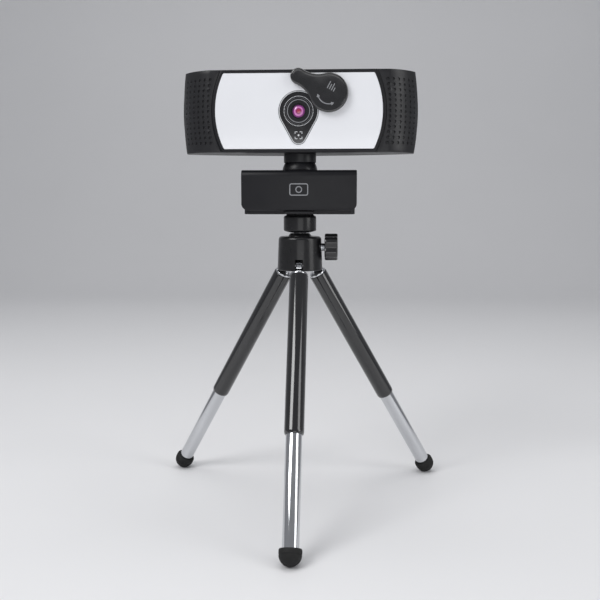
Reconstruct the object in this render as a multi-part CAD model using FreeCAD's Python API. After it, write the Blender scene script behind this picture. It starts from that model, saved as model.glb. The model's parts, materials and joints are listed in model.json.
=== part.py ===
"""Webcam on a mini tripod: one STEP file per piece, in parts/.

The webcam stands on the tripod's quarter-inch stud by the brass nut in its folded monitor clip.
Frame: millimetres, +Z up, -Y is the lens side, +X is the lock knob's side.
The origin is on the surface that the three feet stand on, straight under the tripod's axis.
"""

import FreeCAD, Part
import math
import os

V = FreeCAD.Vector
X_AXIS, Y_AXIS, Z_AXIS = V(1, 0, 0), V(0, 1, 0), V(0, 0, 1)

# ---------------------------------------------------------------- driving dimensions
# Tripod legs: d is the distance down a leg from its hinge
LEG_SPREAD = 32.0            # degrees from the vertical, against the stop
LEG_AZIMUTHS = {"front": -90.0, "right": 30.0, "left": 150.0}
HINGE_RADIUS = 6.6           # leg hinges, from the tripod's axis
OUTER_TUBE_R = 4.2
OUTER_TUBE_WALL = 0.5
OUTER_TUBE_LENGTH = 73.0
INNER_TUBE_R = 3.4
INNER_TUBE_WALL = 0.4
INNER_TUBE_LENGTH = 57.0
TUBE_TOP_D = 5.5             # where the black tube starts
BUSH_LENGTH = 9.0
LIP_THICKNESS = 0.8          # rolled end of the black tube
FOOT_R = 4.65
FOOT_SKIRT = 2.2             # straight part of the rubber foot over the tube's end
SLIDE_CLEARANCE = 0.06

# Leg knuckle and its pin
PIN_R = 0.8
KNUCKLE_R = 2.4
KNUCKLE_T = 3.0
KNUCKLE_PLUG = 7.0
KNUCKLE_COLLAR = 0.9
RUNNING = 0.08               # radial clearance of a turning fit
SLOT_GAP = 0.3               # beside a knuckle in its slot
PIN_HALF = 7.0

# Hub, ball and platform: h is the height over the ball's centre
HUB_BOTTOM_R = 10.4
HUB_TOP_R = 9.8
HUB_BELOW_HINGE = 2.5
BALL_OVER_HINGE = 10.0
BALL_R = 6.2
BALL_GAP = 0.2
HUB_RIM_H = 3.0
HUB_SHOULDER = 1.5
CUP_THICKNESS = 1.0
STUD_DEPTH = 2.0             # how far the stud reaches below the ball's centre
PLATFORM_R = 7.5
PLATFORM_BOTTOM_H = 4.7
PLATFORM_EDGE_H = 5.5
PLATFORM_TOP_H = 12.5
PAD_T = 0.6
STUD_R = 3.1
STUD_OUT = 5.0               # how far the stud stands over the pad

# Lock screw and knob
LOCK_DROP = 2.0              # below the ball's centre
LOCK_R = 1.9
LOCK_TIP_X = 8.0
KNOB_START_X = 11.4
KNOB_WIDTH = 6.0
KNOB_CORE_R = 4.6
KNOB_LOBE_R = 2.0
KNOB_LOBES = 5

# Monitor clip: heights are over the clip's foot
CLIP_WIDTH = 51.5
CLIP_DEPTH = 22.0
CLIP_HEIGHT = 19.6
JAW_T = 3.0
JAW_BOTTOM = 1.75
JAW_CORNER = 3.0
BRIDGE_T = 3.5
LEG_WIDTH = 50.0
FOOT_SLAB_T = 7.0
LEG_WALL_T = 3.5
LEG_CORNER = 3.0
JAW_GAP = 0.35               # between the folded leg's foot and the jaw
TAB_WIDTH = 13.5
CLIP_AXIS_Z = 15.4
CLIP_AXIS_IN = 2.6           # the clip's hinge, in from its back face
CLIP_BARREL_R = 2.4
CLIP_PIN_R = 1.0
CLIP_BARREL_HALF = 15.0      # the leg's part of the hinge barrel
CLIP_EAR_END = 22.0
CLIP_PAD_T = 0.8
NUT_R = 5.2
NUT_T = 5.0
NUT_BORE_R = 3.18

# Swivel neck: heights are over the clip's top
DOME_R = 8.0                 # ball-shaped, centred on the tilt axis
TILT_AXIS_H = -0.6
DOME_GAP = 0.3
DOME_TOP_H = 4.0
JOURNAL_R = 4.8
JOURNAL_BOTTOM_H = -3.4
RING_R = 5.75
RING_T = 0.8
RING_RECESS = 1.3
TONGUE_HALF = 2.0
TONGUE_R = 2.0
SIDE_GAP = 0.3
TILT_PIN_R = 1.0
TILT_PIN_HALF = 4.4
TILT_ROOM = 24.0             # degrees of room for the tongue in its slot
COLLAR_R = 7.35
COLLAR_BOTTOM_H = 3.6
COLLAR_ROOF_H = 6.9
FLANGE_R = 6.0               # the collar's seat in the head's floor
HEAD_OVER_CLIP = 7.5

# Camera head
HEAD_HALF_W = 53.0
HEAD_H = 35.5
HEAD_FRONT_Y = -12.5
HEAD_END_BACK = 12.5         # the head's thin ends, back from its front face
HEAD_DEPTH = 25.0
HEAD_SIDE_BULGE = 1.75
SWEEP_SAGITTA = 2.3          # how far the swept-back ends bow forwards
HEAD_WALL = 1.6
BEZEL_HALF_CORNER = 33.9
BEZEL_BULGE = 4.3
BEZEL_BORDER = 1.4
FRAME_T = 3.0
FACE_T = 1.2
SEAM = 0.1                   # moulding gap between neighbouring shells
CAP_LINE = 0.3               # how far the caps start behind the frame's face
CAP_T = 2.0
DIMPLE_R = 0.6
DIMPLE_DEPTH = 0.5
DIMPLE_ROWS = 13
DIMPLE_PITCH = 2.26
DIMPLE_COLUMNS = (39.8, 42.2, 44.6, 46.9, 49.2, 51.1)
DIMPLE_BOW = 1.1

# Lens and its window
WINDOW_R = 8.75
WINDOW_TIP_R = 3.4
WINDOW_TIP_Z = -11.0
LENS_HOLE_R = 3.1
LENS_R = 3.0
BARREL_R = 5.5
BARREL_LENGTH = 9.0
HOLDER_HALF = 7.0
BOARD_Y = 1.5                # the main board's front face
BOARD_T = 1.2
BOARD_HALF_W = 31.0
BOARD_HALF_H = 12.0

# Privacy cover: a comma-shaped plate that swings on a pin over the lens
PIVOT_Z = 14.6               # over the lens
COVER_ARM = 15.0
COVER_R = 8.4
COVER_TAIL_R = 3.5
COVER_WAIST_R = 12.0
COVER_T = 1.8
COVER_STANDOFF = 0.6
WASHER_T = 0.3
COVER_PIN_R = 1.2
COVER_CLIP_R = 2.0
COVER_OPEN = 62.0            # degrees that it is swung aside

# Cable outlet in the back
GLAND_R = 3.6
GLAND_BORE_R = 1.9
GLAND_OUT = 3.0
GLAND_X = 14.0
GLAND_Z = -8.0
GLAND_NECK_R = 2.9

# Ballast and microphones
BALLAST_T = 3.0
BALLAST_BACK = 8.4
MIC_X = 43.5
MIC_R = 1.9
MIC_BOARD_T = 1.0
MIC_BOARD_BACK = -2.2

# Housing screws
BOSS_R = 2.4
SCREW_R = 1.0
SCREW_HEAD_R = 1.9
BOSS_X = 27.0
BOSS_Z = 13.2
REAR_SCREW_HEAD_Y = 7.4

# ---------------------------------------------------------------- places worked out from them
TUBE_END_D = TUBE_TOP_D + OUTER_TUBE_LENGTH
INNER_TOP_D = TUBE_END_D - LIP_THICKNESS - BUSH_LENGTH - SLIDE_CLEARANCE
INNER_END_D = INNER_TOP_D + INNER_TUBE_LENGTH
HINGE_Z = INNER_END_D * math.cos(math.radians(LEG_SPREAD)) + FOOT_R
BALL_Z = HINGE_Z + BALL_OVER_HINGE
HUB_RIM_Z = BALL_Z + HUB_RIM_H
HUB_BOTTOM_Z = HINGE_Z - HUB_BELOW_HINGE
CLIP_Z = BALL_Z + PLATFORM_TOP_H + PAD_T
CLIP_TOP_Z = CLIP_Z + CLIP_HEIGHT
CLIP_FRONT = -CLIP_DEPTH / 2
CLIP_BACK = CLIP_DEPTH / 2
CLIP_AXIS = V(0, CLIP_BACK - CLIP_AXIS_IN, CLIP_Z + CLIP_AXIS_Z)
TILT_AXIS = V(0, 0, CLIP_TOP_Z + TILT_AXIS_H)
HEAD_BOTTOM_Z = CLIP_TOP_Z + HEAD_OVER_CLIP
LENS_Z = HEAD_BOTTOM_Z + HEAD_H / 2
SPLIT_Y = HEAD_FRONT_Y + HEAD_END_BACK
BOARD_BACK = BOARD_Y + BOARD_T
FACE_BACK = HEAD_FRONT_Y + FACE_T
PIVOT = V(0, 0, LENS_Z + PIVOT_Z)
LOCK_Z = BALL_Z - LOCK_DROP


# ---------------------------------------------------------------- small helpers
def disc(radius, length, base, direction=Z_AXIS):
    """A solid cylinder from base, along direction."""
    return Part.makeCylinder(radius, length, base, direction)


def pipe(radius, bore, length, base, direction=Z_AXIS):
    """A hollow cylinder."""
    return disc(radius, length, base, direction).cut(disc(bore, length, base, direction))


def block(x0, x1, y0, y1, z0, z1):
    """A box between two corners."""
    return Part.makeBox(x1 - x0, y1 - y0, z1 - z0, V(x0, y0, z0))


def prism(points, direction):
    """A polygon, swept straight."""
    return Part.Face(Part.makePolygon(points + points[:1])).extrude(direction)


def turned(profile, centre=V(0, 0, 0)):
    """A closed outline of (radius, height) points, revolved about the vertical through centre."""
    points = [centre + V(r, 0, h) for r, h in profile]
    return Part.Face(Part.makePolygon(points + points[:1])).revolve(centre, Z_AXIS, 360)


def edges_where(shape, keep):
    """The shape's edges whose bounding box and curve pass a test."""
    return [e for e in shape.Edges if keep(e)]


def plate(x0, x1, z0, z1, y0, thickness, radius):
    """An upright plate facing Y, with its four corners rounded."""
    solid = block(x0, x1, y0, y0 + thickness, z0, z1)
    corners = edges_where(solid, lambda e: e.BoundBox.YLength > thickness / 2)
    return solid.makeFillet(radius, corners)


def export(node, shape):
    """Write one piece, as its separate closed solids."""
    solids = shape.Solids
    bad = [s for s in solids if not s.isValid() or s.Volume <= 0]
    print(f"{node}: {len(solids)} solid(s), {shape.Volume:.1f} mm3" + (" INVALID" if bad else ""))
    whole = solids[0] if len(solids) == 1 else Part.makeCompound(solids)
    whole.exportStep(f"parts/{node}.step")


# ---------------------------------------------------------------- tripod legs
def place_leg(shape, azimuth):
    """Carry a leg piece from its own frame (hinge at the origin, leg down -Z) to its place."""
    placed = shape.copy()
    placed.rotate(V(0, 0, 0), Y_AXIS, -LEG_SPREAD)
    placed.translate(V(HINGE_RADIUS, 0, HINGE_Z))
    placed.rotate(V(0, 0, 0), Z_AXIS, azimuth)
    return placed


def leg_knuckle():
    """Bright metal hinge eye, tongue, collar and the plug that the tube is crimped on."""
    half = KNUCKLE_T / 2
    collar_top = TUBE_TOP_D - KNUCKLE_COLLAR
    eye = disc(KNUCKLE_R, KNUCKLE_T, V(0, -half, 0), Y_AXIS)
    tongue = block(-KNUCKLE_R, KNUCKLE_R, -half, half, -collar_top, 0)
    collar = disc(OUTER_TUBE_R - 0.3, KNUCKLE_COLLAR, V(0, 0, -TUBE_TOP_D))
    plug = disc(OUTER_TUBE_R - OUTER_TUBE_WALL, KNUCKLE_PLUG, V(0, 0, -TUBE_TOP_D - KNUCKLE_PLUG))
    bore = disc(PIN_R + RUNNING, KNUCKLE_T, V(0, -half, 0), Y_AXIS)
    return eye.fuse([tongue, collar, plug]).removeSplitter().cut(bore)


def leg_outer_tube():
    """Black tube with its lower end rolled in, which keeps the bush from pulling out."""
    bore = OUTER_TUBE_R - OUTER_TUBE_WALL
    lip_bore = INNER_TUBE_R + SLIDE_CLEARANCE
    body = disc(OUTER_TUBE_R, OUTER_TUBE_LENGTH, V(0, 0, -TUBE_END_D))
    rim = edges_where(body, lambda e: e.BoundBox.ZMax < -TUBE_END_D + 0.1)
    body = body.makeFillet(LIP_THICKNESS, rim)
    hollow = disc(bore, OUTER_TUBE_LENGTH - LIP_THICKNESS, V(0, 0, -TUBE_END_D + LIP_THICKNESS))
    return body.cut(hollow).cut(disc(lip_bore, LIP_THICKNESS * 2, V(0, 0, -TUBE_END_D)))


def leg_inner_tube():
    """Chromed tube that slides in the black one."""
    bore = INNER_TUBE_R - INNER_TUBE_WALL
    return pipe(INNER_TUBE_R, bore, INNER_TUBE_LENGTH, V(0, 0, -INNER_END_D))


def leg_bush():
    """Nylon friction sleeve round the top of the chromed tube."""
    outer = OUTER_TUBE_R - OUTER_TUBE_WALL - SLIDE_CLEARANCE
    return pipe(outer, INNER_TUBE_R, BUSH_LENGTH, V(0, 0, -INNER_TOP_D - BUSH_LENGTH))


def leg_foot():
    """Rubber cap: a half ball with a skirt that the tube is pushed into."""
    tip = V(0, 0, -INNER_END_D)
    ball = Part.makeSphere(FOOT_R, tip)
    below = disc(FOOT_R + 1, FOOT_R + 1, tip - V(0, 0, FOOT_R + 1))
    foot = ball.common(below).fuse(disc(FOOT_R, FOOT_SKIRT, tip)).removeSplitter()
    rim = edges_where(foot, lambda e: e.BoundBox.ZMin > tip.z + FOOT_SKIRT - 0.1)
    foot = foot.makeFillet(0.6, rim)
    return foot.cut(disc(INNER_TUBE_R, FOOT_SKIRT, tip))


def build_legs():
    makers = {"knuckle": leg_knuckle, "outer_tube": leg_outer_tube, "inner_tube": leg_inner_tube,
              "bush": leg_bush, "foot": leg_foot}
    for side, azimuth in LEG_AZIMUTHS.items():
        for piece, make in makers.items():
            export(f"leg_{side}_{piece}", place_leg(make(), azimuth))


# ---------------------------------------------------------------- hub, ball head and lock
def slot_cutter():
    """One leg slot with its pin hole, at azimuth 0."""
    half = KNUCKLE_T / 2 + SLOT_GAP
    reach = KNUCKLE_R + 0.4
    top = HINGE_Z + KNUCKLE_R + 0.3
    slot = block(HINGE_RADIUS - reach, HUB_BOTTOM_R + 1, -half, half, HUB_BOTTOM_Z - 1, top)
    pin = disc(PIN_R, PIN_HALF + HUB_BOTTOM_R, V(HINGE_RADIUS, -PIN_HALF, HINGE_Z), Y_AXIS)
    return slot.fuse(pin)


def hub_body():
    """Moulded barrel: ball socket above, three leg slots below, the lock screw's hole at its side."""
    height = HUB_RIM_Z - HUB_BOTTOM_Z
    body = Part.makeCone(HUB_BOTTOM_R, HUB_TOP_R, height, V(0, 0, HUB_BOTTOM_Z))
    top_rim = edges_where(body, lambda e: e.BoundBox.ZMin > HUB_RIM_Z - 0.1)
    body = body.makeFillet(HUB_SHOULDER, top_rim)
    body = body.cut(Part.makeSphere(BALL_R + BALL_GAP, V(0, 0, BALL_Z)))
    body = body.cut(disc(BALL_R + BALL_GAP - CUP_THICKNESS, 3.0, V(0, 0, BALL_Z - BALL_R - 0.4)))
    for azimuth in LEG_AZIMUTHS.values():
        cutter = slot_cutter()
        cutter.rotate(V(0, 0, 0), Z_AXIS, azimuth)
        body = body.cut(cutter)
    return body.cut(disc(LOCK_R + RUNNING, HUB_BOTTOM_R, V(BALL_R - 1.5, 0, LOCK_Z), X_AXIS))


def ball_cup():
    """Nylon seat under the ball: a disc with a ball-shaped hollow, which turns with the ball."""
    outer = BALL_R + BALL_GAP - CUP_THICKNESS - 0.1
    seat = disc(outer, 3.0 - 0.1, V(0, 0, BALL_Z - BALL_R - 0.4 + 0.05))
    return seat.cut(Part.makeSphere(BALL_R + 0.05, V(0, 0, BALL_Z)))


def ball():
    """Ball with a flat top under the platform; the camera stud is screwed into it."""
    height = BALL_R + PLATFORM_BOTTOM_H - SIDE_GAP
    below = disc(2 * BALL_R, height, V(0, 0, BALL_Z - BALL_R))
    solid = Part.makeSphere(BALL_R, V(0, 0, BALL_Z)).common(below)
    return solid.cut(disc(STUD_R, PLATFORM_BOTTOM_H + STUD_DEPTH, V(0, 0, BALL_Z - STUD_DEPTH)))


def camera_stud():
    """Quarter-inch stud, from inside the ball to the top."""
    length = STUD_DEPTH + PLATFORM_TOP_H + PAD_T + STUD_OUT
    stud = disc(STUD_R, length, V(0, 0, BALL_Z - STUD_DEPTH))
    rim = edges_where(stud, lambda e: e.BoundBox.ZMin > BALL_Z + 2)
    return stud.makeChamfer(0.6, [e for e in rim if e.BoundBox.ZLength < 0.1])


def platform():
    """Turning collar that carries the camera."""
    bore = STUD_R + RUNNING
    profile = [(bore, PLATFORM_BOTTOM_H), (PLATFORM_R - 3.0, PLATFORM_BOTTOM_H),
               (PLATFORM_R, PLATFORM_EDGE_H), (PLATFORM_R, PLATFORM_TOP_H), (bore, PLATFORM_TOP_H)]
    collar = turned(profile, V(0, 0, BALL_Z))
    top = edges_where(collar, lambda e: e.BoundBox.ZMin > BALL_Z + PLATFORM_TOP_H - 0.1
                      and e.BoundBox.XLength > 2 * PLATFORM_R - 1)
    return collar.makeFillet(1.0, top)


def platform_pad():
    """Thin rubber washer on the platform."""
    return pipe(PLATFORM_R - 1.1, STUD_R + RUNNING, PAD_T, V(0, 0, CLIP_Z - PAD_T))


def lock_knob():
    """Lobed knob: round lobes set on a hub, with a bore for the screw."""
    start = V(KNOB_START_X, 0, LOCK_Z)
    knob = disc(KNOB_CORE_R, KNOB_WIDTH, start, X_AXIS)
    for i in range(KNOB_LOBES):
        angle = 2 * math.pi * i / KNOB_LOBES
        offset = V(0, KNOB_CORE_R * math.cos(angle), KNOB_CORE_R * math.sin(angle))
        knob = knob.fuse(disc(KNOB_LOBE_R, KNOB_WIDTH, start + offset, X_AXIS))
    knob = knob.removeSplitter()
    ends = edges_where(knob, lambda e: e.BoundBox.XLength < 0.01)
    knob = knob.makeFillet(0.7, ends)
    return knob.cut(disc(LOCK_R, KNOB_WIDTH - 1.0, start, X_AXIS))


def build_hub():
    export("hub_body", hub_body())
    pins = []
    for azimuth in LEG_AZIMUTHS.values():
        pin = disc(PIN_R, 2 * PIN_HALF, V(HINGE_RADIUS, -PIN_HALF, HINGE_Z), Y_AXIS)
        pin.rotate(V(0, 0, 0), Z_AXIS, azimuth)
        pins.append(pin)
    export("leg_pins", Part.makeCompound(pins))
    export("ball_cup", ball_cup())
    export("ball", ball())
    export("camera_stud", camera_stud())
    export("platform", platform())
    export("platform_pad", platform_pad())
    export("brake_tip", disc(LOCK_R, LOCK_TIP_X - BALL_R - 0.05, V(BALL_R + 0.05, 0, LOCK_Z), X_AXIS))
    length = KNOB_START_X + KNOB_WIDTH - 1.0 - LOCK_TIP_X
    export("lock_screw", disc(LOCK_R, length, V(LOCK_TIP_X, 0, LOCK_Z), X_AXIS))
    export("lock_knob", lock_knob())


# ---------------------------------------------------------------- monitor clip
def clip_leg():
    """Folding leg: foot slab with the nut's seat, back wall and the middle of the hinge barrel."""
    half = LEG_WIDTH / 2
    front = CLIP_FRONT + JAW_T + JAW_GAP
    axis_y, axis_z = CLIP_AXIS.y, CLIP_AXIS.z
    ear_wall_top = axis_z - CLIP_BARREL_R - 0.8
    slab = plate(-half, half, CLIP_Z, CLIP_Z + FOOT_SLAB_T, front, CLIP_BACK - front, LEG_CORNER)
    wall = plate(-half, half, CLIP_Z, ear_wall_top, CLIP_BACK - LEG_WALL_T, LEG_WALL_T, LEG_CORNER)
    middle = CLIP_BARREL_HALF
    rise = block(-middle, middle, axis_y, CLIP_BACK, ear_wall_top - 2, axis_z)
    barrel = disc(CLIP_BARREL_R, 2 * middle, V(-middle, axis_y, axis_z), X_AXIS)
    tab_half = TAB_WIDTH / 2
    tab = block(-tab_half, tab_half, CLIP_FRONT + 0.5, front + 1, CLIP_Z + 0.1, CLIP_Z + JAW_BOTTOM - 0.3)
    leg = slab.fuse([wall, rise, barrel, tab]).removeSplitter()
    leg = leg.cut(disc(CLIP_PIN_R + RUNNING, 2 * middle, V(-middle, axis_y, axis_z), X_AXIS))
    leg = leg.cut(disc(NUT_R, NUT_T, V(0, 0, CLIP_Z)))
    return leg.cut(disc(NUT_BORE_R, NUT_T + 1.0, V(0, 0, CLIP_Z)))


def clip_bridge():
    """Top plate and front jaw in one, with the hinge's two ears under its back edge."""
    half = CLIP_WIDTH / 2
    jaw = plate(-half, half, CLIP_Z + JAW_BOTTOM, CLIP_TOP_Z, CLIP_FRONT, JAW_T, JAW_CORNER)
    top = block(-half, half, CLIP_FRONT + JAW_CORNER, CLIP_BACK, CLIP_TOP_Z - BRIDGE_T, CLIP_TOP_Z)
    back_corners = edges_where(top, lambda e: e.BoundBox.ZLength > 1 and e.BoundBox.YMin > 0)
    top = top.makeFillet(4.0, back_corners)
    link = block(-half + JAW_CORNER, half - JAW_CORNER, CLIP_FRONT, CLIP_FRONT + JAW_CORNER + 1,
                 CLIP_TOP_Z - BRIDGE_T, CLIP_TOP_Z)
    body = jaw.fuse([top, link]).removeSplitter()
    front_edge = edges_where(body, lambda e: e.BoundBox.XLength > CLIP_WIDTH - 10
                             and e.BoundBox.ZMin > CLIP_TOP_Z - 0.1 and e.BoundBox.YMax < CLIP_FRONT + 0.1)
    body = body.makeFillet(2.6, front_edge)
    axis_y, axis_z = CLIP_AXIS.y, CLIP_AXIS.z
    ear_length = CLIP_EAR_END - CLIP_BARREL_HALF - SIDE_GAP
    for start in (-CLIP_EAR_END, CLIP_BARREL_HALF + SIDE_GAP):
        barrel = disc(CLIP_BARREL_R, ear_length, V(start, axis_y, axis_z), X_AXIS)
        root = block(start, start + ear_length, axis_y - CLIP_BARREL_R, axis_y,
                     axis_z, CLIP_TOP_Z - BRIDGE_T + 0.5)
        body = body.fuse([barrel, root])
    reach = CLIP_BARREL_HALF + SIDE_GAP
    clear_r = CLIP_BARREL_R + 0.55
    body = body.cut(disc(clear_r, 2 * reach, V(-reach, axis_y, axis_z), X_AXIS))
    body = body.cut(block(-half, half, axis_y + CLIP_BARREL_R, CLIP_BACK + 1, axis_z - 3, axis_z + clear_r))
    body = body.cut(block(-reach, reach, axis_y, CLIP_BACK + 1, axis_z - 3, axis_z + clear_r))
    body = body.cut(disc(CLIP_PIN_R, 2 * CLIP_EAR_END, V(-CLIP_EAR_END, axis_y, axis_z), X_AXIS))
    body = body.cut(disc(JOURNAL_R + RUNNING, BRIDGE_T, V(0, 0, CLIP_TOP_Z - BRIDGE_T)))
    return body.cut(disc(RING_R + 0.3, RING_RECESS, V(0, 0, CLIP_TOP_Z - BRIDGE_T)))


def build_clip():
    export("clip_leg", clip_leg())
    nut = disc(NUT_R, NUT_T, V(0, 0, CLIP_Z))
    export("tripod_nut", nut.cut(disc(NUT_BORE_R, NUT_T, V(0, 0, CLIP_Z))))
    export("clip_bridge", clip_bridge())
    pin_start = V(-CLIP_EAR_END, CLIP_AXIS.y, CLIP_AXIS.z)
    export("clip_hinge_pin", disc(CLIP_PIN_R, 2 * CLIP_EAR_END, pin_start, X_AXIS))
    pad_half = LEG_WIDTH / 2 - 5
    pad_bottom = CLIP_Z + FOOT_SLAB_T + 0.3
    jaw_back = CLIP_FRONT + JAW_T
    export("jaw_pad", plate(-pad_half, pad_half, pad_bottom, CLIP_TOP_Z - BRIDGE_T - 0.5,
                            jaw_back, CLIP_PAD_T, 1.0))
    wall_front = CLIP_BACK - LEG_WALL_T
    export("leg_pad", plate(-pad_half, pad_half, pad_bottom, CLIP_AXIS.z - CLIP_BARREL_R - 0.9,
                            wall_front - CLIP_PAD_T, CLIP_PAD_T, 1.0))


# ---------------------------------------------------------------- swivel neck
def tongue_room():
    """Room for the collar's tongue: a round bottom and a wedge that opens upwards."""
    half = TONGUE_HALF + SIDE_GAP
    start = TILT_AXIS - V(half, 0, 0)
    round_r = TONGUE_R + SIDE_GAP
    lean = math.radians(TILT_ROOM)
    root = round_r / math.cos(lean)
    spread = root + 2 * DOME_R * math.tan(lean)
    wedge = prism([start + V(0, -root, 0), start + V(0, root, 0),
                   start + V(0, spread, 2 * DOME_R), start + V(0, -spread, 2 * DOME_R)],
                  V(2 * half, 0, 0))
    return wedge.fuse(disc(round_r, 2 * half, start, X_AXIS))


def turret():
    """Ball-shaped dome that pans on the clip, with its journal through the clip's top plate."""
    bottom, top = CLIP_TOP_Z + DOME_GAP, CLIP_TOP_Z + DOME_TOP_H
    dome = Part.makeSphere(DOME_R, TILT_AXIS).common(disc(2 * DOME_R, top - bottom, V(0, 0, bottom)))
    journal = disc(JOURNAL_R, DOME_GAP - JOURNAL_BOTTOM_H, V(0, 0, CLIP_TOP_Z + JOURNAL_BOTTOM_H))
    body = dome.fuse(journal).removeSplitter().cut(tongue_room())
    return body.cut(disc(TILT_PIN_R, 2 * TILT_PIN_HALF, TILT_AXIS - V(TILT_PIN_HALF, 0, 0), X_AXIS))


def neck_collar():
    """Collar under the head, hollow over the dome, with the tongue that the tilt pin goes through."""
    bottom = CLIP_TOP_Z + COLLAR_BOTTOM_H
    collar = disc(COLLAR_R, HEAD_BOTTOM_Z - bottom, V(0, 0, bottom))
    flange = disc(FLANGE_R, HEAD_WALL, V(0, 0, HEAD_BOTTOM_Z))
    hollow = Part.makeSphere(DOME_R + DOME_GAP, TILT_AXIS)
    roof = CLIP_TOP_Z + COLLAR_ROOF_H
    hollow = hollow.common(disc(2 * DOME_R, 2 * DOME_R, V(0, 0, roof - 2 * DOME_R)))
    eye = disc(TONGUE_R, 2 * TONGUE_HALF, TILT_AXIS - V(TONGUE_HALF, 0, 0), X_AXIS)
    stem = block(-TONGUE_HALF, TONGUE_HALF, -TONGUE_R, TONGUE_R, TILT_AXIS.z, HEAD_BOTTOM_Z)
    body = collar.fuse(flange).removeSplitter().cut(hollow).fuse([eye, stem]).removeSplitter()
    bore = disc(TILT_PIN_R + RUNNING, 2 * TONGUE_HALF, TILT_AXIS - V(TONGUE_HALF, 0, 0), X_AXIS)
    return body.cut(bore)


def build_neck():
    export("turret", turret())
    ring_base = V(0, 0, CLIP_TOP_Z + JOURNAL_BOTTOM_H)
    export("turret_ring", pipe(RING_R, JOURNAL_R, RING_T, ring_base))
    export("neck_collar", neck_collar())
    export("tilt_pin", disc(TILT_PIN_R, 2 * TILT_PIN_HALF, TILT_AXIS - V(TILT_PIN_HALF, 0, 0), X_AXIS))


# ---------------------------------------------------------------- camera head
def arc_radius(half_chord, rise):
    """Radius of the arc that rises this far over a half chord."""
    return (half_chord ** 2 + rise ** 2) / (2 * rise)


def bowed_slab(half_width, bulge, half_height, y0, y1, inset=0.0):
    """Upright slab facing Y whose two sides bow outwards by bulge over the height."""
    radius = arc_radius(half_height, bulge)
    z0, height = LENS_Z - half_height + inset, 2 * (half_height - inset)
    slab = block(-half_width, half_width, y0, y1, z0, z0 + height)
    for side in (-1, 1):
        centre = V(side * (half_width - radius), y0, LENS_Z)
        slab = slab.common(disc(radius - inset, y1 - y0, centre, Y_AXIS))
    return slab


REAR_R = arc_radius(HEAD_HALF_W, HEAD_DEPTH - HEAD_END_BACK)
REAR_Y = HEAD_FRONT_Y + HEAD_DEPTH - REAR_R
FLAT_X = BEZEL_HALF_CORNER + BEZEL_BULGE
SWEEP_CHORD = math.hypot(HEAD_HALF_W - FLAT_X, HEAD_END_BACK)
SWEEP_R = arc_radius(SWEEP_CHORD / 2, SWEEP_SAGITTA)
SWEEP_X = (HEAD_HALF_W + FLAT_X) / 2 - (SWEEP_R - SWEEP_SAGITTA) * HEAD_END_BACK / SWEEP_CHORD
SWEEP_Y = ((2 * HEAD_FRONT_Y + HEAD_END_BACK) / 2
           + (SWEEP_R - SWEEP_SAGITTA) * (HEAD_HALF_W - FLAT_X) / SWEEP_CHORD)


def head_solid(inset):
    """The head's whole form: flat front, swept-back ends and bulging back, taken in by inset."""
    z0, height = HEAD_BOTTOM_Z + inset, HEAD_H - 2 * inset
    body = disc(REAR_R - inset, height, V(0, REAR_Y, z0))
    body = body.common(block(-80, 80, HEAD_FRONT_Y + inset, 60, z0, z0 + height))
    for side in (-1, 1):
        sweep = disc(SWEEP_R - inset, height, V(side * SWEEP_X, SWEEP_Y, z0))
        x0, x1 = sorted((side * SWEEP_X, -side * 90))
        body = body.common(sweep.fuse(block(x0, x1, -60, 60, z0, z0 + height)))
    y0, y1 = HEAD_FRONT_Y - 1, HEAD_FRONT_Y + HEAD_DEPTH + 1
    return body.common(bowed_slab(HEAD_HALF_W, HEAD_SIDE_BULGE, HEAD_H / 2, y0, y1, inset))


def frame_region(grow, y0, y1):
    """The barrel-shaped middle of the front, grown sideways."""
    return bowed_slab(FLAT_X + grow, BEZEL_BULGE, HEAD_H / 2, y0, y1)


def behind(y):
    """Everything behind a plane, as a cutter's block."""
    return block(-80, 80, y, 60, LENS_Z - 40, LENS_Z + 40)


def bosses(y0, y1, radius):
    """The four screw bosses, or their bores."""
    return [disc(radius, y1 - y0, V(sx * BOSS_X, y0, LENS_Z + sz * BOSS_Z), Y_AXIS)
            for sx in (-1, 1) for sz in (-1, 1)]


def floor_seat():
    """Round seat in the head's floor for the neck collar's flange."""
    return disc(FLANGE_R, HEAD_WALL, V(0, 0, HEAD_BOTTOM_Z))


def rear_shell():
    """Bulging back cover, with screw bosses, posts for the ballast and microphones, the gland's hole."""
    outer = head_solid(0).common(behind(SPLIT_Y))
    shell = outer.cut(head_solid(HEAD_WALL))
    for boss in bosses(BOARD_BACK + 0.2, 12.0, BOSS_R):
        shell = shell.fuse(boss.common(outer))
    for x in (-9.0, 9.0):
        shell = shell.fuse(disc(1.5, 20, V(x, BALLAST_BACK, LENS_Z + 4.0), Y_AXIS).common(outer))
    for x in (-MIC_X, MIC_X):
        for up in (-3.5, 3.5):
            shell = shell.fuse(disc(1.0, 20, V(x, MIC_BOARD_BACK, LENS_Z + up), Y_AXIS).common(outer))
    for bore in bosses(-2.0, 20.0, SCREW_R):
        shell = shell.cut(bore)
    for recess in bosses(REAR_SCREW_HEAD_Y, 20.0, SCREW_HEAD_R + 0.1):
        shell = shell.cut(recess)
    shell = shell.cut(floor_seat())
    return shell.cut(disc(GLAND_NECK_R, 30, V(GLAND_X, 3, LENS_Z + GLAND_Z), Y_AXIS)).removeSplitter()


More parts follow.
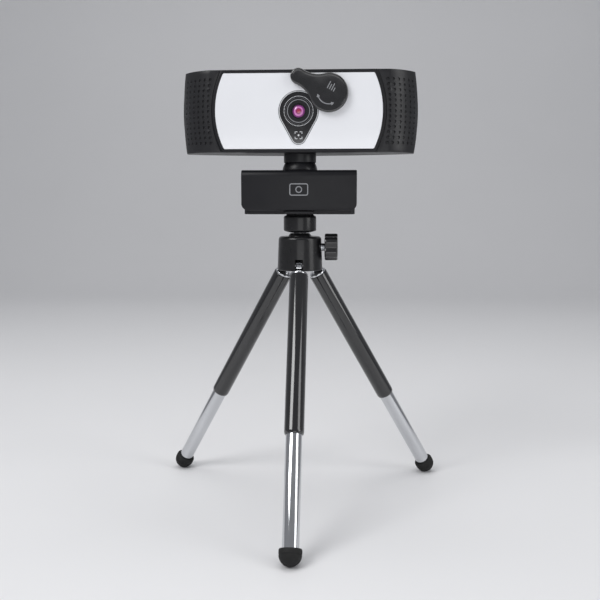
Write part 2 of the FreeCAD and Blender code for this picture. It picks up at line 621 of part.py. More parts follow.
def front_frame():
    """Centre part of the front: border, recess for the face plate, and the walls behind it."""
    centre = head_solid(0).common(frame_region(0, HEAD_FRONT_Y - 1, SPLIT_Y - SEAM))
    frame = centre.cut(head_solid(HEAD_WALL).common(behind(HEAD_FRONT_Y + FRAME_T)))
    recess = bowed_slab(FLAT_X - BEZEL_BORDER, BEZEL_BULGE - 0.3, HEAD_H / 2 - BEZEL_BORDER,
                        HEAD_FRONT_Y - 1, FACE_BACK)
    frame = frame.cut(recess)
    frame = frame.cut(disc(BARREL_R + 0.2, 10, V(0, HEAD_FRONT_Y - 1, LENS_Z), Y_AXIS))
    frame = frame.cut(disc(COVER_PIN_R + RUNNING, 10, PIVOT + V(0, HEAD_FRONT_Y - 1, 0), Y_AXIS))
    post_start = HEAD_FRONT_Y + FRAME_T - 0.5
    for post in bosses(post_start, BOARD_BACK, BOSS_R):
        frame = frame.fuse(post)
    for x in (-1, 1):
        at = V(x * (BOARD_HALF_W - 6), post_start, LENS_Z)
        frame = frame.fuse(disc(BOSS_R, BOARD_Y - post_start, at, Y_AXIS))
    for bore in bosses(-4.0, BOARD_BACK, SCREW_R):
        frame = frame.cut(bore)
    ring_room = disc(COVER_CLIP_R + 0.3, 3, PIVOT + V(0, HEAD_FRONT_Y + FRAME_T, 0), Y_AXIS)
    return frame.cut(floor_seat()).cut(ring_room).removeSplitter()


def window_outline_face(grow, y):
    """Plectrum outline: a big circle and a small tip circle with their two common tangents."""
    big, small, drop = WINDOW_R + grow, WINDOW_TIP_R + grow, -WINDOW_TIP_Z
    lean = math.asin((big - small) / drop)
    c, s = math.cos(lean), math.sin(lean)
    tangent_big = V(big * c, y, LENS_Z - big * s)
    tangent_tip = V(small * c, y, LENS_Z - drop - small * s)
    mirror = lambda p: V(-p.x, p.y, p.z)
    edges = [
        Part.Arc(tangent_big, V(0, y, LENS_Z + big), mirror(tangent_big)).toShape(),
        Part.makeLine(mirror(tangent_big), mirror(tangent_tip)),
        Part.Arc(mirror(tangent_tip), V(0, y, LENS_Z - drop - small), tangent_tip).toShape(),
        Part.makeLine(tangent_tip, tangent_big),
    ]
    return Part.Face(Part.Wire(edges))


def face_plate():
    """White gloss plate in the frame's recess, open round the lens window."""
    slab = bowed_slab(FLAT_X - BEZEL_BORDER - SEAM, BEZEL_BULGE - 0.3,
                      HEAD_H / 2 - BEZEL_BORDER - SEAM, HEAD_FRONT_Y, FACE_BACK)
    slab = slab.cut(window_outline_face(SEAM, HEAD_FRONT_Y).extrude(V(0, FACE_T, 0)))
    return slab.cut(disc(COVER_PIN_R + RUNNING, 4, PIVOT + V(0, HEAD_FRONT_Y - 1, 0), Y_AXIS))


def lens_window():
    """Plectrum-shaped black glass with the lens's hole."""
    glass = window_outline_face(0, HEAD_FRONT_Y).extrude(V(0, FACE_T, 0))
    return glass.cut(disc(LENS_HOLE_R, 4, V(0, HEAD_FRONT_Y - 1, LENS_Z), Y_AXIS))


def end_cap(side):
    """Dimpled end cap: the swept-back end of the front, between the frame and the back cover."""
    shell = head_solid(0).cut(head_solid(CAP_T)).common(behind(HEAD_FRONT_Y + CAP_LINE))
    shell = shell.cut(behind(SPLIT_Y - SEAM))
    shell = shell.cut(frame_region(SEAM, HEAD_FRONT_Y - 2, SPLIT_Y + 1))
    shell = shell.common(block(0, 80, -60, 60, LENS_Z - 60, LENS_Z + 60))
    middle = (DIMPLE_ROWS - 1) / 2
    cutters = []
    for row in range(DIMPLE_ROWS):
        up = (row - middle) * DIMPLE_PITCH
        bow = DIMPLE_BOW * (1 - (row / middle - 1) ** 2)
        for column in DIMPLE_COLUMNS:
            x = column + bow - DIMPLE_BOW
            lean = cap_lean(x)
            start = V(x, cap_front(x), LENS_Z + up) + lean * DIMPLE_DEPTH
            cutters.append(disc(DIMPLE_R, 4, start, lean * -1))
    shell = shell.cut(Part.makeCompound(cutters))
    cap = max(shell.Solids, key=lambda solid: solid.Volume)
    return cap.mirror(V(0, 0, 0), X_AXIS) if side < 0 else cap


def cap_front(x):
    """How far forward the end's surface lies at x."""
    return SWEEP_Y - math.sqrt(SWEEP_R ** 2 - (x - SWEEP_X) ** 2)


def cap_lean(x):
    """Unit vector from the end's surface at x into the head."""
    return V(SWEEP_X - x, SWEEP_Y - cap_front(x), 0).normalize()


def cover_outline():
    """Comma outline, hanging straight down from the pivot: two circles and two hollow flanks."""
    tail, head = V(0, 0, 0), V(0, 0, -COVER_ARM)
    to_tail, to_head = COVER_TAIL_R + COVER_WAIST_R, COVER_R + COVER_WAIST_R
    down = (to_tail ** 2 - to_head ** 2 + COVER_ARM ** 2) / (2 * COVER_ARM)
    out = math.sqrt(to_tail ** 2 - down ** 2)
    flank = {side: V(side * out, 0, -down) for side in (-1, 1)}
    near = {side: flank[side] * (COVER_TAIL_R / to_tail) for side in (-1, 1)}
    far = {side: head + (flank[side] - head) * (COVER_R / to_head) for side in (-1, 1)}
    waist = {side: flank[side] - V(side * COVER_WAIST_R, 0, 0) for side in (-1, 1)}
    edges = [
        Part.Arc(near[1], tail + V(0, 0, COVER_TAIL_R), near[-1]).toShape(),
        Part.Arc(near[-1], waist[-1], far[-1]).toShape(),
        Part.Arc(far[-1], head - V(0, 0, COVER_R), far[1]).toShape(),
        Part.Arc(far[1], waist[1], near[1]).toShape(),
    ]
    return Part.Face(Part.Wire(edges))


def privacy_cover():
    """The swinging cover, with its rounded front edge and the pin's blind hole, swung aside."""
    solid = cover_outline().extrude(V(0, -COVER_T, 0))
    front = edges_where(solid, lambda e: e.BoundBox.YMax < -COVER_T + 0.05)
    solid = solid.makeFillet(0.7, front)
    solid = solid.cut(disc(COVER_PIN_R, COVER_T - 0.8, V(0, -COVER_T + 0.8, 0), Y_AXIS))
    solid.rotate(V(0, 0, 0), V(0, -1, 0), COVER_OPEN)
    solid.translate(PIVOT + V(0, HEAD_FRONT_Y - COVER_STANDOFF, 0))
    return solid


def build_front():
    export("front_frame", front_frame())
    export("face_plate", face_plate())
    export("lens_window", lens_window())
    export("cap_right", end_cap(1))
    export("cap_left", end_cap(-1))
    export("rear_shell", rear_shell())
    export("privacy_cover", privacy_cover())
    pin_start = PIVOT + V(0, HEAD_FRONT_Y - COVER_STANDOFF - COVER_T + 0.8, 0)
    pin_length = COVER_T - 0.8 + COVER_STANDOFF + FRAME_T + 1.6
    export("cover_pin", disc(COVER_PIN_R, pin_length, pin_start, Y_AXIS))
    washer_start = PIVOT + V(0, HEAD_FRONT_Y - WASHER_T, 0)
    export("cover_washer", pipe(2.2, COVER_PIN_R + RUNNING, WASHER_T, washer_start, Y_AXIS))
    clip_start = PIVOT + V(0, HEAD_FRONT_Y + FRAME_T + SIDE_GAP, 0)
    export("cover_pin_clip", pipe(COVER_CLIP_R, COVER_PIN_R, 0.6, clip_start, Y_AXIS))


def build_optics():
    """Lens barrel, holder, sensor and boards."""
    axis = V(0, 0, LENS_Z)
    barrel_start = HEAD_FRONT_Y + FACE_T
    barrel = disc(BARREL_R, BARREL_LENGTH, axis + V(0, barrel_start, 0), Y_AXIS)
    nose = disc(LENS_HOLE_R - 0.1, FACE_T - 0.2, axis + V(0, HEAD_FRONT_Y + 0.2, 0), Y_AXIS)
    barrel = barrel.fuse(nose).removeSplitter()
    bore_r = LENS_R - 0.3
    barrel = barrel.cut(disc(bore_r, BARREL_LENGTH + 3, axis + V(0, HEAD_FRONT_Y, 0), Y_AXIS))
    export("lens_barrel", barrel)
    dome_r = 5.4
    front = HEAD_FRONT_Y + 0.2
    ball_centre = axis + V(0, front + dome_r, 0)
    glass = Part.makeSphere(dome_r, ball_centre).common(disc(bore_r, 2.4, axis + V(0, front, 0), Y_AXIS))
    export("front_lens", glass)
    inner = [disc(bore_r, 1.4, axis + V(0, front + back, 0), Y_AXIS) for back in (4.0, 6.6)]
    export("inner_lenses", Part.makeCompound(inner))
    holder_start = barrel_start + BARREL_LENGTH - 5.0
    holder = block(-HOLDER_HALF, HOLDER_HALF, holder_start, BOARD_Y, LENS_Z - HOLDER_HALF, LENS_Z + HOLDER_HALF)
    holder = holder.cut(disc(BARREL_R, 20, axis + V(0, holder_start - 1, 0), Y_AXIS))
    export("lens_holder", holder)
    export("image_sensor", block(-3.6, 3.6, BOARD_Y - 1.0, BOARD_Y, LENS_Z - 3.0, LENS_Z + 3.0))
    filter_y = barrel_start + BARREL_LENGTH - 0.6
    export("ir_filter", disc(bore_r, 0.6, axis + V(0, filter_y, 0), Y_AXIS))
    board = plate(-BOARD_HALF_W, BOARD_HALF_W, LENS_Z - BOARD_HALF_H, LENS_Z + BOARD_HALF_H, BOARD_Y, BOARD_T, 1.5)
    for post in bosses(BOARD_Y - 1, BOARD_BACK + 1, BOSS_R + 0.1):
        board = board.cut(post)
    export("main_board", board)
    chips = [block(-20, -12, BOARD_BACK, BOARD_BACK + 1.2, LENS_Z - 4, LENS_Z + 4),
             block(-8, -3, BOARD_BACK, BOARD_BACK + 1.0, LENS_Z - 9, LENS_Z - 5),
             block(18, 23, BOARD_BACK, BOARD_BACK + 1.0, LENS_Z + 3, LENS_Z + 7)]
    export("board_chips", Part.makeCompound(chips))
    export("cable_header", block(GLAND_X - 4, GLAND_X + 4, BOARD_BACK, BOARD_BACK + 4.0,
                                 LENS_Z + GLAND_Z - 1.8, LENS_Z + GLAND_Z + 1.8))
    ballast_front = BALLAST_BACK - BALLAST_T
    export("ballast", plate(-12, 12, LENS_Z - 1.0, LENS_Z + 9.0, ballast_front, BALLAST_T, 1.0))


def build_mics():
    """A microphone, its rubber boot and its little board behind each end cap."""
    board_front = MIC_BOARD_BACK - MIC_BOARD_T
    cavity = head_solid(CAP_T)
    mics, boots, boards = [], [], []
    for side in (-1, 1):
        at = V(side * MIC_X, HEAD_FRONT_Y, LENS_Z)
        mics.append(disc(MIC_R, 1.4, V(at.x, board_front - 1.4, at.z), Y_AXIS))
        boots.append(pipe(MIC_R + 1.2, MIC_R, board_front - HEAD_FRONT_Y, at, Y_AXIS).common(cavity))
        boards.append(block(at.x - 3.5, at.x + 3.5, board_front, MIC_BOARD_BACK, LENS_Z - 5, LENS_Z + 5))
    export("microphones", Part.makeCompound(mics))
    export("mic_boots", Part.makeCompound(boots))
    export("mic_boards", Part.makeCompound(boards))


def rear_surface(x):
    """How far back the rear shell's outside lies at x."""
    return REAR_Y + math.sqrt(REAR_R ** 2 - x ** 2)


def build_back():
    """Cable gland with its bore, and the four screws that hold the head together."""
    outside = rear_surface(GLAND_X)
    seat = outside + 0.45
    gland_axis = V(GLAND_X, 0, LENS_Z + GLAND_Z)
    neck = disc(GLAND_NECK_R, HEAD_WALL + 1.2, gland_axis + V(0, seat - HEAD_WALL - 1.2, 0), Y_AXIS)
    gland = neck.fuse(disc(GLAND_R, GLAND_OUT, gland_axis + V(0, seat, 0), Y_AXIS)).removeSplitter()
    export("cable_gland", gland.cut(disc(GLAND_BORE_R, 20, gland_axis + V(0, seat - 5, 0), Y_AXIS)))
    print(f"gland: mouth y {seat + GLAND_OUT:.3f}, length {GLAND_OUT + HEAD_WALL + 1.2:.3f}")
    shank_length = REAR_SCREW_HEAD_Y + 3.5
    screws = []
    for sx in (-1, 1):
        for sz in (-1, 1):
            at = V(sx * BOSS_X, REAR_SCREW_HEAD_Y, LENS_Z + sz * BOSS_Z)
            shank = disc(SCREW_R, shank_length, at - V(0, shank_length, 0), Y_AXIS)
            screws.append(shank.fuse(disc(SCREW_HEAD_R, 1.2, at, Y_AXIS)).removeSplitter())
    export("housing_screws", Part.makeCompound(screws))


os.makedirs("parts", exist_ok=True)
build_legs()
build_hub()
build_clip()
build_neck()
build_front()
build_optics()
build_mics()
build_back()
print(f"hinge z {HINGE_Z:.3f}, ball z {BALL_Z:.3f}, clip z {CLIP_Z:.3f}, lens z {LENS_Z:.3f}")
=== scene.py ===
# %% [markdown]
# A wide webcam stands on the stud of a small telescopic tripod.
# The measured frame comes first: every body and every hidden piece is loaded from it and never moved.
# Each visible piece is then laid over it as a surface that is computed on a grid of two parameters.

# %% Load the frame
import json
import math

import bmesh
import bpy
import numpy as np
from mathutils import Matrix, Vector


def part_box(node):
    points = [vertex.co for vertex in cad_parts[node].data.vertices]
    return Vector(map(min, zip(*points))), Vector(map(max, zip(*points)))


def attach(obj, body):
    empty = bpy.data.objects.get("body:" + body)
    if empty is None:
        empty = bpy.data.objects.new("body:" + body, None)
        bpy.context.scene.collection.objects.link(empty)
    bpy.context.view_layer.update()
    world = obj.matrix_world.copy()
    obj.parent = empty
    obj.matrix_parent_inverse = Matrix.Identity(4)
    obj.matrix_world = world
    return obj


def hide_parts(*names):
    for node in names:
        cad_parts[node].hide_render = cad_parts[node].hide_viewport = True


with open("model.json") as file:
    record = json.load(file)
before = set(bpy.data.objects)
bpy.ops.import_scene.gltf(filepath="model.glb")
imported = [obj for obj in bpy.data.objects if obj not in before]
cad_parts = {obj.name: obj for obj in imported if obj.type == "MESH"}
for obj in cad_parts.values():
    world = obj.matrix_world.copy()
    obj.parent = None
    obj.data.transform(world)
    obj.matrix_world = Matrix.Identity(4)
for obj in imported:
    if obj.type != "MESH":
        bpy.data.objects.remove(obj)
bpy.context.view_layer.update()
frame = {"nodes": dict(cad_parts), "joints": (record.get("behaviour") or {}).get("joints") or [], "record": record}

MM = 0.001

# %% [markdown]
# ## From an array of points to a closed mesh
# Most pieces here are rings of points, stacked from one end to the other: a tube, a knob and a moulded
# plate differ only in what each ring looks like. Blender could spin or extrude them one edge at a time.
# Computing the rings as one array is quicker to change, and one function then closes and welds them all.

# %% Rings to mesh
def ring_faces(rings, count, closed_stack=False):
    """Quads between neighbouring rings: corner (i, j) joins (i, j + 1), (i + 1, j + 1) and (i + 1, j)."""
    i = np.arange(rings if closed_stack else rings - 1)[:, None]
    j = np.arange(count)[None, :]
    a, b = i * count + j, i * count + (j + 1) % count
    up = (i + 1) % rings
    return np.stack([a, b, up * count + (j + 1) % count, up * count + j], -1).reshape(-1, 4)


def piece(name, points, faces, body, finish, node=(), slot=None, smooth=35, weld=1e-6):
    """A finished object: welded, faces outwards, smooth up to the given edge angle, riding on its body."""
    mesh = bpy.data.meshes.new(name)
    mesh.from_pydata((np.asarray(points) * MM).tolist(), [], [list(map(int, f)) for f in faces])
    work = bmesh.new()
    work.from_mesh(mesh)
    bmesh.ops.remove_doubles(work, verts=work.verts, dist=weld)
    bmesh.ops.dissolve_degenerate(work, edges=work.edges, dist=weld)
    bmesh.ops.recalc_face_normals(work, faces=work.faces)
    for edge in work.edges:
        edge.smooth = len(edge.link_faces) == 2 and edge.calc_face_angle(0) < math.radians(smooth)
    for face in work.faces:
        face.smooth = True
    work.to_mesh(mesh)
    work.free()
    thing = bpy.data.objects.new(name, mesh)
    bpy.context.collection.objects.link(thing)
    mesh.materials.append(finish)
    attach(thing, body)
    if node:
        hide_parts(*([node] if isinstance(node, str) else node))
    return thing


def stack(rings, caps=True, closed_stack=False):
    """Points and faces of a pile of rings, rings being an array (how many, points in each, 3)."""
    rings = np.asarray(rings, float)
    count = rings.shape[1]
    faces = [tuple(f) for f in ring_faces(rings.shape[0], count, closed_stack)]
    if caps and not closed_stack:
        last = (rings.shape[0] - 1) * count
        faces += [tuple(range(count)), tuple(range(last, last + count))]
    return rings.reshape(-1, 3), faces


def join(*parts):
    """Several (points, faces) pairs as one, the face numbers moved up past the points before them."""
    points, faces, start = [], [], 0
    for p, f in parts:
        points.append(np.asarray(p, float))
        faces += [tuple(int(n) + start for n in face) for face in f]
        start += len(p)
    return np.concatenate(points), faces


print("mesh helpers ready")

# %% [markdown]
# ## Rounded profiles
# Nothing moulded has a knife edge. A profile is drawn with its corners first, and each corner is then
# replaced by a short arc, so the highlight that runs along a real edge appears on this one too.

# %% Profiles
def softened(corners, radius, steps=5, closed=False):
    """Cuts each corner back by radius (less where a side is short) and bridges it with a smooth curve:
    the curve is the quadratic one whose middle control point is the old corner."""
    p = np.asarray(corners, float)
    n = len(p)
    r = np.broadcast_to(np.asarray(radius, float), (n,))
    out = []
    for k in range(n):
        if not closed and k in (0, n - 1):
            out.append(p[k][None])
            continue
        before, after = p[k - 1] - p[k], p[(k + 1) % n] - p[k]
        lb, la = np.linalg.norm(before), np.linalg.norm(after)
        cut = min(r[k], 0.49 * lb, 0.49 * la)
        if cut <= 0:
            out.append(p[k][None])
            continue
        a, b = p[k] + before / lb * cut, p[k] + after / la * cut
        t = np.linspace(0, 1, steps + 1)[:, None]
        out.append((1 - t) ** 2 * a + 2 * t * (1 - t) * p[k] + t ** 2 * b)
    return np.concatenate(out)


def frame_of(direction):
    """Two unit vectors square to a direction, and the direction itself."""
    w = np.asarray(direction, float) / np.linalg.norm(direction)
    u = np.cross(w, [0, 1, 0] if abs(w[1]) < 0.9 else [1, 0, 0])
    u /= np.linalg.norm(u)
    return u, np.cross(w, u), w


def lathe(profile, base, direction=(0, 0, 1), count=64):
    """A surface of revolution: the point at (radius r, distance h) and turn a lies at
    base + r (cos a u + sin a v) + h w, where u, v and w are square to each other and w is the axis."""
    u, v, w = frame_of(direction)
    a = np.linspace(0, 2 * np.pi, count, endpoint=False)[None, :, None]
    r, h = np.asarray(profile, float)[:, 0, None, None], np.asarray(profile, float)[:, 1, None, None]
    return np.asarray(base, float) + r * (np.cos(a) * u + np.sin(a) * v) + h * w


def solid_of_revolution(corners, base, direction=(0, 0, 1), radius=0.4, count=64, steps=5, closed=True):
    """Lathe of a softened outline. A closed outline gives a ring; an open one starts and ends on the axis."""
    return stack(lathe(softened(corners, radius, steps, closed), base, direction, count),
                 caps=not closed, closed_stack=closed)


print("profiles ready")

# %% [markdown]
# ## Finishes
# Plastic, paint, chrome and rubber differ in three things: how sharp their reflection is, how it varies
# across the surface, and what relief lies under it. One function sets these three for each finish,
# with noise on object coordinates, so that the grain stays with the piece when it moves.

# %% Finish maker
def finish(name, colour, rough, metal=0.0, coat=0.0, grain=(900.0, 0.05), cloud=(60.0, 0.06), drift=0.04,
           streak=None, specular=0.5, smudge=0.0, transmission=0.0, ior=1.5):
    """colour and rough are the mean; grain is (cells per metre, bump height in tenths of a millimetre);
    cloud is (cells per metre, how much lighter or darker); drift is how far the roughness wanders."""
    m = bpy.data.materials.new(name)
    m.use_nodes = True
    t = m.node_tree
    shader = t.nodes["Principled BSDF"]
    place = t.nodes.new("ShaderNodeTexCoord")
    space = place.outputs["Object"]
    if streak:
        stretch = t.nodes.new("ShaderNodeMapping")
        stretch.inputs["Scale"].default_value = streak
        t.links.new(space, stretch.inputs["Vector"])
        space = stretch.outputs["Vector"]

    def noise(scale, detail):
        n = t.nodes.new("ShaderNodeTexNoise")
        n.inputs["Scale"].default_value = scale
        n.inputs["Detail"].default_value = detail
        t.links.new(space, n.inputs["Vector"])
        return n.outputs["Fac"]

    def between(value, low, high):
        r = t.nodes.new("ShaderNodeMapRange")
        r.inputs["From Min"].default_value, r.inputs["From Max"].default_value = 0.3, 0.7
        r.inputs["To Min"].default_value, r.inputs["To Max"].default_value = low, high
        t.links.new(value, r.inputs["Value"])
        return r.outputs["Result"]

    soft = noise(cloud[0], 3.0)
    ramp = t.nodes.new("ShaderNodeValToRGB")
    ramp.color_ramp.elements[0].position, ramp.color_ramp.elements[1].position = 0.3, 0.7
    for end, way in ((0, -1), (1, 1)):
        shade = [max(0.0, min(1.0, c * (1 + way * cloud[1]))) for c in colour]
        ramp.color_ramp.elements[end].color = (*shade, 1)
    t.links.new(soft, ramp.inputs["Fac"])
    t.links.new(ramp.outputs["Color"], shader.inputs["Base Color"])
    t.links.new(between(noise(cloud[0] * 4, 4.0), max(0.02, rough - drift), rough + drift + smudge),
                shader.inputs["Roughness"])
    bump = t.nodes.new("ShaderNodeBump")
    bump.inputs["Strength"].default_value = 0.6
    bump.inputs["Distance"].default_value = grain[1] * 1e-4
    t.links.new(noise(grain[0], 2.0), bump.inputs["Height"])
    t.links.new(bump.outputs["Normal"], shader.inputs["Normal"])
    shader.inputs["Metallic"].default_value = metal
    shader.inputs["Coat Weight"].default_value = coat
    shader.inputs["Coat Roughness"].default_value = 0.06
    shader.inputs["Specular IOR Level"].default_value = specular
    shader.inputs["Transmission Weight"].default_value = transmission
    shader.inputs["IOR"].default_value = ior
    m.diffuse_color = (*colour, 1)
    return m


# %% The finishes of this webcam and tripod
satin_shell = finish("satin_shell", (0.011, 0.011, 0.013), 0.42, specular=0.26,
                     grain=(2600, 0.09), cloud=(45, 0.10))
satin_bezel = finish("satin_bezel", (0.010, 0.010, 0.012), 0.36, specular=0.28,
                     grain=(2600, 0.07), cloud=(45, 0.08))
grille_satin = finish("grille_satin", (0.014, 0.014, 0.016), 0.36, specular=0.36,
                      grain=(2300, 0.10), cloud=(50, 0.10))
white_gloss = finish("white_gloss", (0.83, 0.84, 0.87), 0.16, coat=0.6, grain=(500, 0.02), cloud=(30, 0.012))
black_glass = finish("black_glass", (0.004, 0.004, 0.005), 0.06, coat=1.0, grain=(300, 0.01), cloud=(40, 0.2),
                     drift=0.02, smudge=0.04)
smoked_cover = finish("smoked_cover", (0.010, 0.010, 0.011), 0.10, coat=1.0, grain=(400, 0.02),
                      cloud=(70, 0.15), drift=0.03, smudge=0.05)
clip_satin = finish("clip_satin", (0.009, 0.009, 0.011), 0.38, specular=0.28,
                    grain=(2400, 0.10), cloud=(55, 0.10))
neck_satin = finish("neck_satin", (0.011, 0.011, 0.013), 0.33, specular=0.35,
                    grain=(2400, 0.07), cloud=(60, 0.08))
hub_satin = finish("hub_satin", (0.009, 0.009, 0.010), 0.30, specular=0.35,
                   grain=(1800, 0.10), cloud=(80, 0.10), coat=0.15)
knob_gloss = finish("knob_gloss", (0.010, 0.010, 0.011), 0.18, grain=(900, 0.05), cloud=(90, 0.12), coat=0.5)
gloss_paint = finish("gloss_paint", (0.008, 0.008, 0.009), 0.13, grain=(700, 0.05), cloud=(60, 0.2), coat=0.8,
                     streak=(1, 1, 0.25))
chrome = finish("chrome", (0.62, 0.63, 0.65), 0.10, metal=1.0, grain=(1500, 0.03), cloud=(80, 0.04),
                streak=(1, 1, 0.05), drift=0.04, smudge=0.04)
turned_steel = finish("turned_steel", (0.56, 0.56, 0.58), 0.26, metal=1.0, grain=(2600, 0.12), cloud=(90, 0.08),
                      streak=(0.3, 0.3, 4))
black_rubber = finish("black_rubber", (0.012, 0.012, 0.012), 0.72, grain=(2200, 0.35), cloud=(120, 0.2),
                      drift=0.1, specular=0.3)
nylon = finish("nylon", (0.72, 0.72, 0.68), 0.45, grain=(1500, 0.08), cloud=(90, 0.04))
solder_mask = finish("solder_mask", (0.015, 0.10, 0.045), 0.3, grain=(3000, 0.2), cloud=(500, 0.35), coat=0.4)
machined_brass = finish("machined_brass", (0.72, 0.50, 0.20), 0.24, metal=1.0, grain=(2600, 0.15),
                        cloud=(120, 0.1), streak=(0.4, 0.4, 5))
inner_black = finish("inner_black", (0.008, 0.008, 0.009), 0.6, grain=(1800, 0.1), cloud=(60, 0.1))
pale_print = finish("pale_print", (0.62, 0.63, 0.65), 0.35, grain=(3000, 0.05), cloud=(600, 0.08))
grey_print = finish("grey_print", (0.24, 0.245, 0.26), 0.38, grain=(3000, 0.05), cloud=(600, 0.10))
print("finishes:", len(bpy.data.materials))

# %% [markdown]
# ## Nodes that keep their measured shape
# Boards, pins, nylon and the parts inside are right as they come from the frame: plain machined or
# moulded shapes that are mostly hidden. They only need the finish that they have on the bench.

# %% Finishes on the nodes that stay
slot_finish = {"shell_black": satin_shell, "bezel_black": satin_bezel, "grille_black": grille_satin,
               "panel_white": white_gloss, "window_black": black_glass, "cover_smoke": smoked_cover,
               "inner_black": inner_black, "board_green": solder_mask, "rubber_black": black_rubber,
               "clip_black": clip_satin, "neck_black": neck_satin, "brass": machined_brass,
               "steel": turned_steel, "chrome": chrome, "hub_black": hub_satin, "knob_black": knob_gloss,
               "tube_black": gloss_paint, "nylon_white": nylon, "lens_glass": black_glass}
for entry in frame["record"]["subparts"]:
    node = frame["nodes"][entry["node"]]
    node.data.materials.clear()
    node.data.materials.append(slot_finish[entry["material_slot"]])

# %% [markdown]
# ## Places that several pieces share
# The frame's own boxes give the heights, so nothing is measured twice. Lengths are in millimetres here,
# and the mesh function turns them into metres at the very end.

# %% Shared places
def low(node):
    return np.array(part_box(node)[0]) / MM


def high(node):
    return np.array(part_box(node)[1]) / MM


joints = {joint["name"]: joint for joint in frame["joints"]}
LEG_TILT = math.radians(32.0)
HINGE_Z = joints["leg_front_fold"]["pos_m"][2] / MM
HINGE_R = -joints["leg_front_fold"]["pos_m"][1] / MM
BALL_Z = joints["ball_tilt"]["pos_m"][2] / MM
CLIP_Z = high("platform_pad")[2]
CLIP_TOP = high("clip_bridge")[2]
HEAD_BOTTOM = low("front_frame")[2]
FACE_Z = (HEAD_BOTTOM + high("front_frame")[2]) / 2
FRONT_Y = low("front_frame")[1]
print(f"hinges {HINGE_Z:.2f}, ball {BALL_Z:.2f}, clip {CLIP_Z:.2f}..{CLIP_TOP:.2f},",
      f"face {FACE_Z:.2f}, y {FRONT_Y:.2f}")

# %% [markdown]
# ## The legs
# Each leg is a chromed tube that slides in a black painted one. The painted tube's lower end is rolled
# over the chrome, and a rubber cap closes the foot. All three are turned shapes, so a profile of radius
# against distance down the leg is carried round the leg's own axis.

# %% Leg axes
def leg_line(azimuth):
    """Hinge point and the unit direction down the leg."""
    a = math.radians(azimuth)
    out = np.array([math.cos(a), math.sin(a), 0.0])
    hinge = out * HINGE_R + np.array([0, 0, HINGE_Z])
    return hinge, out * math.sin(LEG_TILT) - np.array([0, 0, math.cos(LEG_TILT)])


LEGS = {"front": -90.0, "right": 30.0, "left": 150.0}
TUBE_TOP, TUBE_END, CHROME_TOP, CHROME_END = 5.5, 78.5, 68.64, 125.64

# %% Tubes, knuckles and feet
tube_profile = [(3.7, TUBE_TOP), (4.2, TUBE_TOP), (4.2, TUBE_END - 1.0), (3.95, TUBE_END), (3.47, TUBE_END),
                (3.47, TUBE_END - 0.8), (3.7, TUBE_END - 0.8)]
chrome_profile = [(3.0, CHROME_TOP), (3.4, CHROME_TOP), (3.4, CHROME_END), (3.0, CHROME_END)]
s = np.linspace(0, np.pi / 2, 13)
foot_arc = np.stack([4.65 * np.cos(s), CHROME_END + 4.65 * np.sin(s)], 1)
foot_profile = np.concatenate([[(3.42, CHROME_END), (3.42, CHROME_END - 2.2), (4.05, CHROME_END - 2.2),
                                (4.35, CHROME_END - 2.1), (4.58, CHROME_END - 1.8), (4.65, CHROME_END - 1.4),
                                (4.65, CHROME_END - 0.2), (4.5, CHROME_END - 0.1), (4.5, CHROME_END + 0.25),
                                (4.63, CHROME_END + 0.35)],
                               foot_arc[2:], [(3.42, CHROME_END)]])
foot_profile[-2, 0] = 0.0
for side, azimuth in LEGS.items():
    hinge, down = leg_line(azimuth)
    outer = stack(lathe(softened(tube_profile, 0.25, 4, True), hinge, down), closed_stack=True)
    piece(f"tube_{side}", *outer, f"leg_{side}_upper", gloss_paint, f"leg_{side}_outer_tube", "tube_black")
    inner = stack(lathe(softened(chrome_profile, 0.12, 3, True), hinge, down), closed_stack=True)
    piece(f"chrome_tube_{side}", *inner, f"leg_{side}_lower", chrome, f"leg_{side}_inner_tube", "chrome")
    foot = stack(lathe(foot_profile, hinge, down, 48), caps=False)
    piece(f"foot_{side}", *foot, f"leg_{side}_lower", black_rubber, f"leg_{side}_foot", "rubber_black", 50)
print("leg pieces made for", ", ".join(LEGS))

# %% [markdown]
# ## The knuckles
# A knuckle is a bright pressed eye that turns in the hub's slot, with a shoulder that the black tube is
# crimped against. The eye is a short turned disc; the neck below it goes from a flat bar to a round collar,
# so its rings are a blend between a rounded rectangle and a circle.

# %% Knuckles
def rounded_rectangle(half_u, half_v, radius, per_side=8):
    """A closed ring: four quarter circles of the radius, joined by straight sides, 4 x per_side points."""
    a = np.linspace(0, np.pi / 2, per_side)
    corner = np.stack([np.cos(a), np.sin(a)], 1) * radius
    turns = []
    for k, (su, sv) in enumerate(((1, 1), (-1, 1), (-1, -1), (1, -1))):
        c, s_ = math.cos(k * math.pi / 2), math.sin(k * math.pi / 2)
        turned = np.stack([corner[:, 0] * c - corner[:, 1] * s_, corner[:, 0] * s_ + corner[:, 1] * c], 1)
        turns.append(turned + [su * (half_u - radius), sv * (half_v - radius)])
    return np.concatenate(turns)


